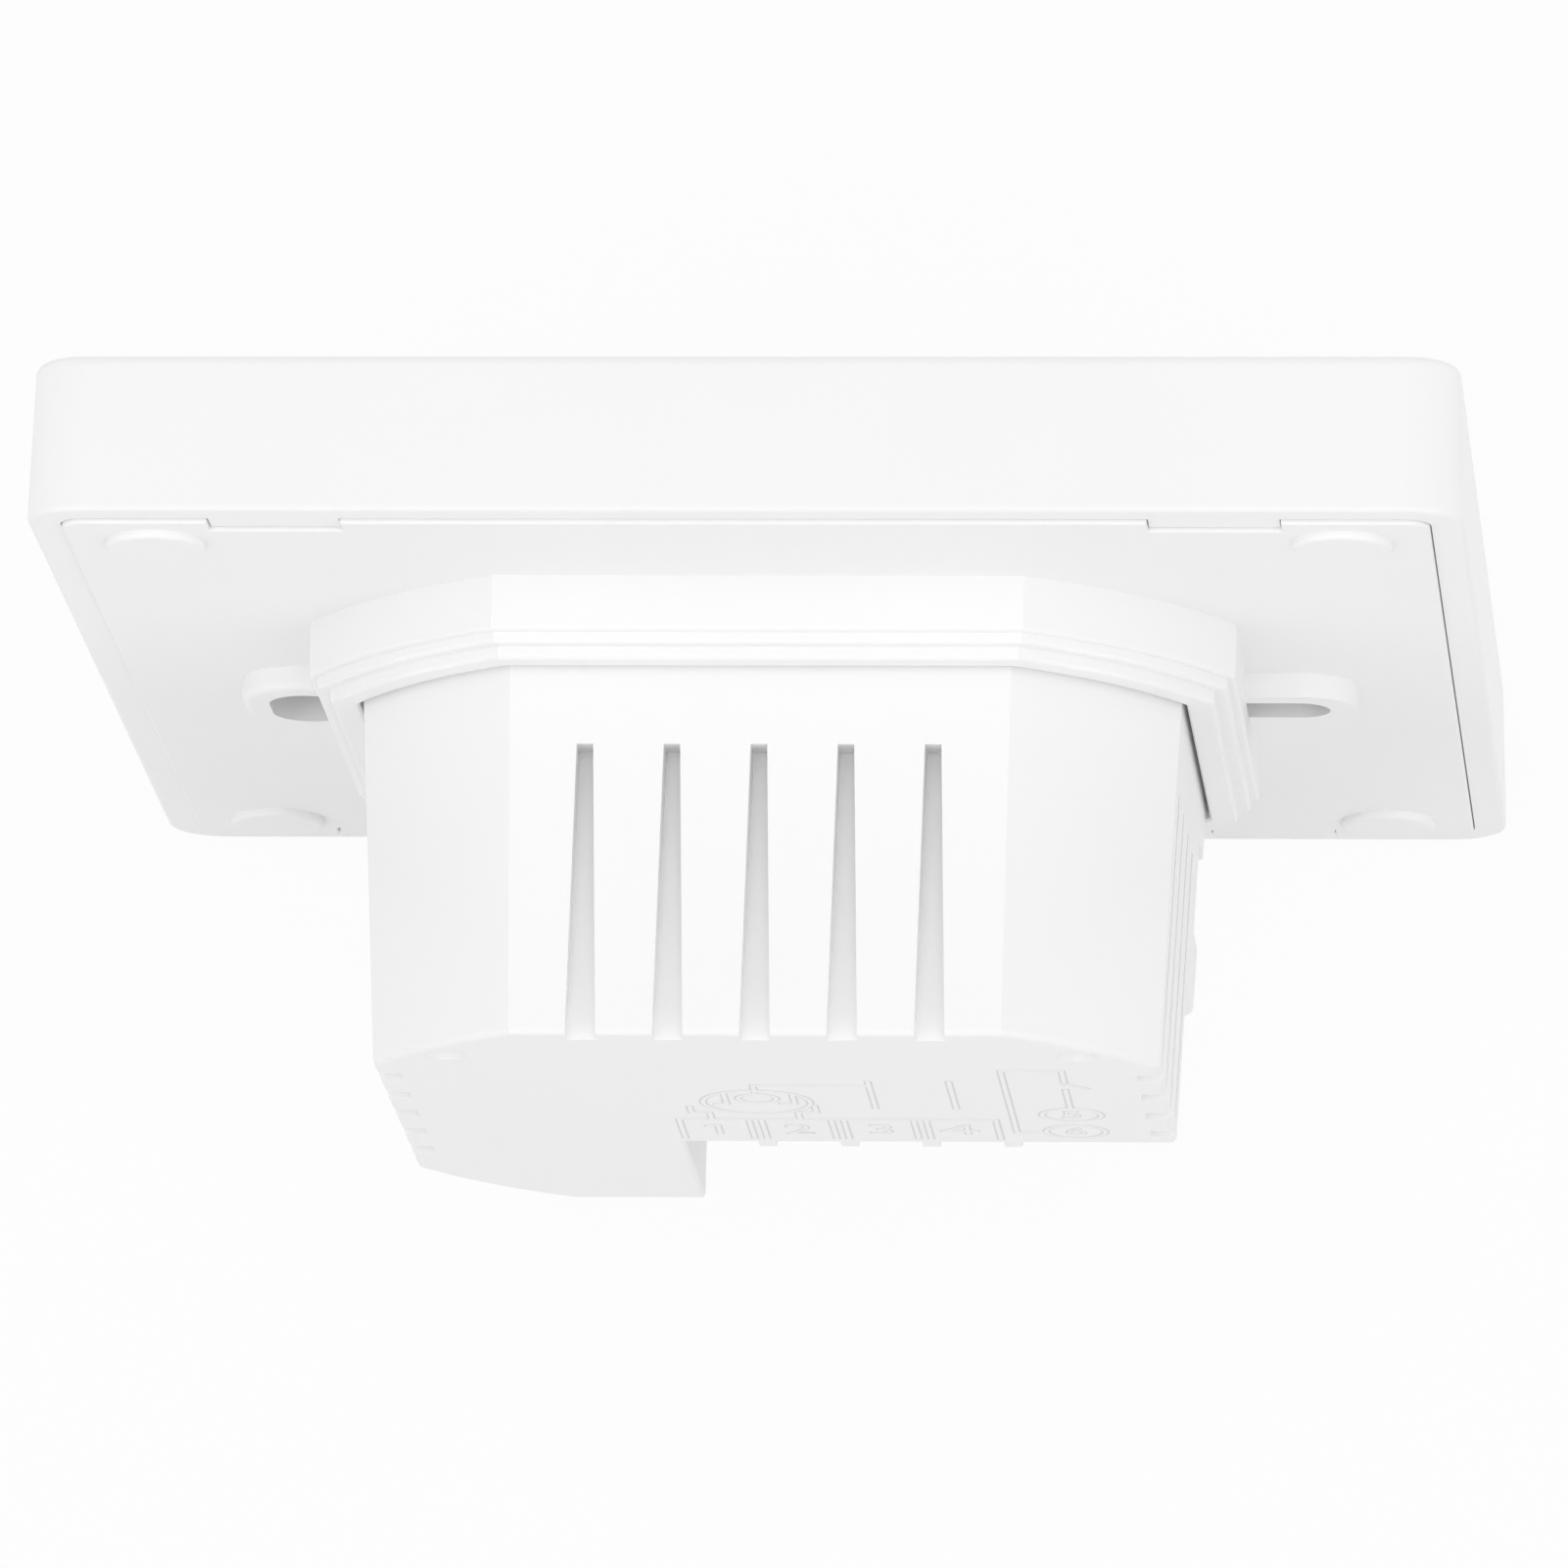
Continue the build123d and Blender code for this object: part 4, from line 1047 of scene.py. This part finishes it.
@dataclass
class SegmentDisplay:
    """Plain seven-segment numbers on the display glass, in millimetres.

    A row of numbers is given by its text, left edge, middle upwards and height.
    """

    face: float = -8.1
    rise: float = 0.03
    sink: float = 0.02
    edge: float = 0.005
    slim: float = 0.13
    gap_share: float = 0.15
    tip_share: float = 0.1
    digit_step: float = 0.72
    point_step: float = 0.2
    colon_rise: float = 0.2
    rows: tuple[tuple[str, float, float, float], ...] = (
        ("21.5", -19.0, 5.0, 16.0), ("20.0", 10.6, 21.5, 4.6), ("12:30", -20.8, 21.5, 4.6),
    )
    day_count: int = 7
    day_pitch: float = 6.4
    day_z: float = -8.5
    day_size: Pair = (4.2, 0.7)
    day_tip: float = 0.35
    day_tip_share: float = 0.2
    strokes: tuple[tuple[str, str], ...] = (
        ("0", "abcdef"), ("1", "bc"), ("2", "abged"), ("3", "abgcd"), ("4", "fgbc"),
        ("5", "afgcd"), ("6", "afgedc"), ("7", "abc"), ("8", "abcdefg"), ("9", "abcdfg"),
    )

    def slab(self, length: float, width: float) -> Piece:
        """Models a thin slab that straddles the display's face at the origin."""
        middle = (self.sink - self.rise) / 2
        return block((length, self.rise + self.sink, width), (0.0, middle, 0.0), self.edge)

    def segment(self, length: float, width: float) -> Piece:
        """Models one level segment with pointed ends.

        Args:
            length: Length from point to point.
            width: Width.

        Returns:
            The segment about the origin.
        """
        piece = self.slab(length - width, width)
        for way in (-1.0, 1.0):
            push_face(piece, (way, 0.0, 0.0), (way * width / 2, 0.0, 0.0),
                      (1.0, 1.0, self.tip_share))
        return piece

    def places(self, digit: str, x: float, z: float, height: float) -> list[Matrix]:
        """Lists the places of a digit's segments.

        Args:
            digit: The digit.
            x: Middle across.
            z: Middle upwards.
            height: Height of the digit.

        Returns:
            One matrix for each segment.
        """
        up, side = height / 2, height / 4
        spots = {"a": (0.0, up, 0), "g": (0.0, 0.0, 0), "d": (0.0, -up, 0),
                 "b": (side, up / 2, 90), "c": (side, -up / 2, 90),
                 "f": (-side, up / 2, 90), "e": (-side, -up / 2, 90)}
        wanted = dict(self.strokes)[digit]
        return [spot(x + across, self.face, z + along, turn)
                for name, (across, along, turn) in spots.items() if name in wanted]

    def write(self, text: str, x: float, z: float, height: float) -> Piece:
        """Writes a number with points or a colon.

        Args:
            text: Digits, points and colons.
            x: Left edge.
            z: Middle upwards.
            height: Height of the digits.

        Returns:
            The number.
        """
        width = height * self.slim
        digits, dots = [], []
        for sign in text:
            if sign in ".:":
                colon = (-height * self.colon_rise, height * self.colon_rise)
                rises = (-height / 2,) if sign == "." else colon
                dots += [spot(x, self.face, z + rise, 45) for rise in rises]
                x += height * self.point_step
            else:
                digits += self.places(sign, x + height / 4, z, height)
                x += height * self.digit_step
        segment = self.segment(height / 2 - width * self.gap_share, width)
        number = spread_copies(segment, digits, "number")
        if dots:
            dot = self.slab(width, width)
            number = join([number, spread_copies(dot, dots, "dots")], "number")
        return number

    def bars(self) -> Piece:
        """Models the row of day bars along the bottom of the display.

        Returns:
            The bars.
        """
        bar = self.slab(*self.day_size)
        push_face(bar, (1.0, 0.0, 0.0), (self.day_tip, 0.0, 0.0), (1.0, 1.0, self.day_tip_share))
        first = (1 - self.day_count) / 2 * self.day_pitch
        places = [spot(first + day * self.day_pitch, self.face, self.day_z)
                  for day in range(self.day_count)]
        return spread_copies(bar, places, "day_bars")

    def build(self, finishes: Finishes) -> None:
        """Models what the display shows and fixes it to the front unit.

        Args:
            finishes: The finishes.
        """
        numbers = [self.write(*row) for row in self.rows]
        shown = join([*numbers, self.bars()], "display_segments")
        fix(shown, finishes.segments, Body.FRONT)


# Details of the circuit boards

# A row of small parts: places across, places upwards and turn in degrees.
Row = tuple[tuple[float, ...], tuple[float, ...], float]


def row_places(rows: tuple[Row, ...], face: float) -> list[Matrix]:
    """Lists the places of all parts in some rows on a board's face."""
    return [spot(x, face, z, turn) for across, along, turn in rows
            for x in across for z in along]


@dataclass
class ChipPart:
    """Small surface-mounted part: a ceramic body between two tinned ends, in millimetres."""

    length: float = 1.6
    width: float = 0.8
    height: float = 0.55
    end: float = 0.3
    end_overlap: float = 0.7
    slim: float = 0.96
    body_edge: float = 0.04
    end_edge: float = 0.05

    def build(self, places: list[Matrix], name: str, side: int, body: Body,
              finishes: Finishes) -> None:
        """Models the parts at all their places.

        Args:
            places: One matrix for each part, on the board's face.
            name: Start of the pieces' names.
            side: 1 on the wall side of a board and -1 on its room side.
            body: Body that they ride on.
            finishes: The finishes.
        """
        rise = side * self.height / 2
        core = block((self.length - 2 * self.end_overlap * self.end, self.height * self.slim,
                      self.width * self.slim), (0.0, rise, 0.0), self.body_edge)
        fix(spread_copies(core, places, f"{name}_bodies"), finishes.ceramic, body)
        out = (self.length - self.end) / 2
        ends = [block((self.end, self.height, self.width), (way * out, rise, 0.0), self.end_edge)
                for way in (-1, 1)]
        fix(spread_copies(join(ends, "end"), places, f"{name}_ends"),
            finishes.made[Slot.TIN.value], body)


@dataclass
class GullLegs:
    """Bent legs along the sides of a moulded chip, in millimetres."""

    width: float = 0.24
    depth: float = 0.14
    reach: float = 0.42
    root: float = 0.05
    bend: float = 0.12
    foot: float = 0.5
    edge: float = 0.02
    drop: float = 0.6

    def leg(self, side: int) -> Piece:
        """Models one leg that comes out of a chip at the origin towards +X.

        Args:
            side: 1 on the wall side of a board and -1 on its room side.

        Returns:
            The leg.
        """
        high = side * self.drop
        piece = block((self.reach, self.depth, self.width),
                      (self.reach / 2 - self.root, high, 0.0), self.edge)
        fall = high - side * self.depth / 2
        for move in ((self.bend, -fall / 2, 0.0), (self.bend, -fall / 2, 0.0),
                     (self.foot, 0.0, 0.0)):
            push_face(piece, (1.0, 0.0, 0.0), move)
        return piece

    def build(self, places: list[Matrix], side: int, name: str, body: Body,
              finishes: Finishes) -> None:
        """Models all the legs of one or more chips, at their roots on the board's face."""
        legs = spread_copies(self.leg(side), places, name)
        fix(legs, finishes.made[Slot.TIN.value], body)


@dataclass
class DisplayBoardDetails:
    """Chip legs, chip parts and the module's antenna on the wall side of the display board."""

    face: float = -4.0
    chip_x: float = -12.0
    chip_z: float = -8.0
    chip_half: float = 5.0
    legs_each_side: int = 12
    leg_pitch: float = 0.75
    part_rows: tuple[Row, ...] = (
        ((-20.2,), (-12.5, -10.4, -8.3, -6.2, -4.1), 90),
        ((-16.5, -14.6, -12.7, -10.8, -8.9), (-16.0,), 90),
        ((-4.0,), (-12.0, -10.3, -8.6, -5.2), 0),
        ((-15.2,), (5.0, 7.0, 9.0, 14.0, 16.0), 0),
        ((15.0,), (4.0, 6.0, 11.0, 13.0), 0),
        ((-26.0, -13.0, 0.0, 13.0, 26.0), (-26.0,), 0),
        ((-24.0, -18.0, 18.0, 24.0), (24.0,), 0),
        ((11.4, 16.6), (-30.6,), 90),
    )
    module_face: float = -3.2
    track_lift: float = 0.01
    track_edge: float = 0.01
    track_x: float = 8.7
    track_bar: Point = (4.2, 0.06, 0.5)
    track_link: Point = (0.5, 0.058, 3.0)
    first_bar_z: float = 4.6
    bar_pitch: float = 2.5
    bar_count: int = 6

    def leg_places(self) -> list[Matrix]:
        """Lists the legs round the controller chip.

        Returns:
            One matrix for each leg.
        """
        places = []
        for quarter in range(4):
            turn = spot(self.chip_x, self.face, self.chip_z, 90 * quarter)
            for index in range(self.legs_each_side):
                along = (index - (self.legs_each_side - 1) / 2) * self.leg_pitch
                places.append(turn @ spot(self.chip_half, 0.0, along))
        return places

    def antenna(self) -> Piece:
        """Models the folded antenna track on the module.

        Returns:
            The track.
        """
        level = self.module_face + self.track_lift
        swing = (self.track_bar[0] - self.track_link[0]) / 2
        pieces = []
        for index in range(self.bar_count):
            z = self.first_bar_z + index * self.bar_pitch
            pieces.append(block(self.track_bar, (self.track_x, level, z), self.track_edge))
            if index < self.bar_count - 1:
                x = self.track_x + (swing if index % 2 else -swing)
                pieces.append(block(self.track_link, (x, level, z + self.bar_pitch / 2),
                                    self.track_edge))
        return join(pieces, "module_antenna")

    def build(self, finishes: Finishes) -> None:
        """Models the details.

        Args:
            finishes: The finishes.
        """
        GullLegs().build(self.leg_places(), 1, "controller_chip_legs", Body.FRONT, finishes)
        ChipPart().build(row_places(self.part_rows, self.face), "display_chip", 1, Body.FRONT,
                         finishes)
        fix(self.antenna(), finishes.made[Slot.GOLD.value], Body.FRONT)


@dataclass
class PowerBoardDetails:
    """Solder joints, chip parts and chip legs on the room side of the power board."""

    face: float = 5.0
    joint_radius: float = 1.05
    joint_height: float = 0.8
    joint_base: float = 0.12
    joint_sides: int = 20
    joint_smooth: float = 50.0
    joint_steps: tuple[Pair, ...] = ((0.12, 0.66), (0.2, 0.68), (0.28, 0.78), (0.2, 0.8))
    pins: tuple[Pair, ...] = (
        (-17.0, 11.1), (-4.5, 7.6), (-4.5, 14.6), (-2.0, 7.6), (-2.0, 14.6),
        (-17.0, 0.3), (-2.4, -3.2), (-2.4, 3.8),
        (5.0, -0.5), (8.5, -0.5), (12.0, -0.5), (15.5, -0.5),
        (5.0, 7.5), (8.5, 7.5), (12.0, 7.5), (15.5, 7.5),
        (4.25, 16.2), (7.75, 16.2), (13.15, 15.2), (16.65, 15.2),
        (19.7, -6.4), (10.0, -13.0), (16.4, -13.0), (9.0, -18.8), (14.2, -18.8),
    )
    chip_x: float = -8.0
    chip_rises: Pair = (-5.0, 5.0)
    chip_half: float = 2.5
    leg_rises: Point = (-1.27, 0.0, 1.27)
    part_rows: tuple[Row, ...] = (
        ((-13.5,), (-6.0, -3.6, -1.2, 3.0, 5.4), 0),
        ((2.0, 4.0, 18.5, 20.0), (12.0,), 90),
        ((20.0,), (2.0, 4.2, 9.0), 0),
    )

    def joint(self) -> Piece:
        """Models one solder joint with the lead's cut end at its top.

        Returns:
            The joint, standing on the origin towards the room.
        """
        pick()
        bpy.ops.mesh.primitive_cylinder_add(
            vertices=self.joint_sides, radius=self.joint_radius * MM, depth=self.joint_base * MM,
            rotation=(math.radians(90), 0, 0))
        piece = bpy.context.object
        settle(piece)
        for rise, squeeze in self.joint_steps:
            push_face(piece, (0.0, -1.0, 0.0), (0.0, -rise * self.joint_height, 0.0),
                      (squeeze, 1.0, squeeze))
        bpy.ops.object.shade_smooth_by_angle(angle=math.radians(self.joint_smooth))
        return piece

    def leg_places(self) -> list[Matrix]:
        """Lists the places of the legs on both sides of the converter chips."""
        return [spot(self.chip_x, self.face, z + rise, turn) @ spot(self.chip_half, 0.0, 0.0)
                for z in self.chip_rises for rise in self.leg_rises for turn in (180, 0)]

    def build(self, finishes: Finishes) -> None:
        """Models the details.

        Args:
            finishes: The finishes.
        """
        places = [spot(x, self.face, z) for x, z in self.pins]
        solder = spread_copies(self.joint(), places, "power_board_solder")
        fix(solder, finishes.made[Slot.TIN.value], Body.WALL)
        GullLegs().build(self.leg_places(), -1, "converter_chip_legs", Body.WALL, finishes)
        ChipPart().build(row_places(self.part_rows, self.face), "power_chip", -1, Body.WALL,
                         finishes)


def main() -> None:
    """Builds and dresses the thermostat in its studio."""
    logging.basicConfig(level=logging.INFO, format="%(name)s: %(message)s")
    finishes = Finishes()
    finishes.dress_nodes()
    relief = WiringRelief()
    relief.build()
    relief.dress(finishes)
    SegmentDisplay().build(finishes)
    DisplayBoardDetails().build(finishes)
    PowerBoardDetails().build(finishes)
    Studio().build()
    PhotographCamera().build()


if __name__ == "__main__":
    main()
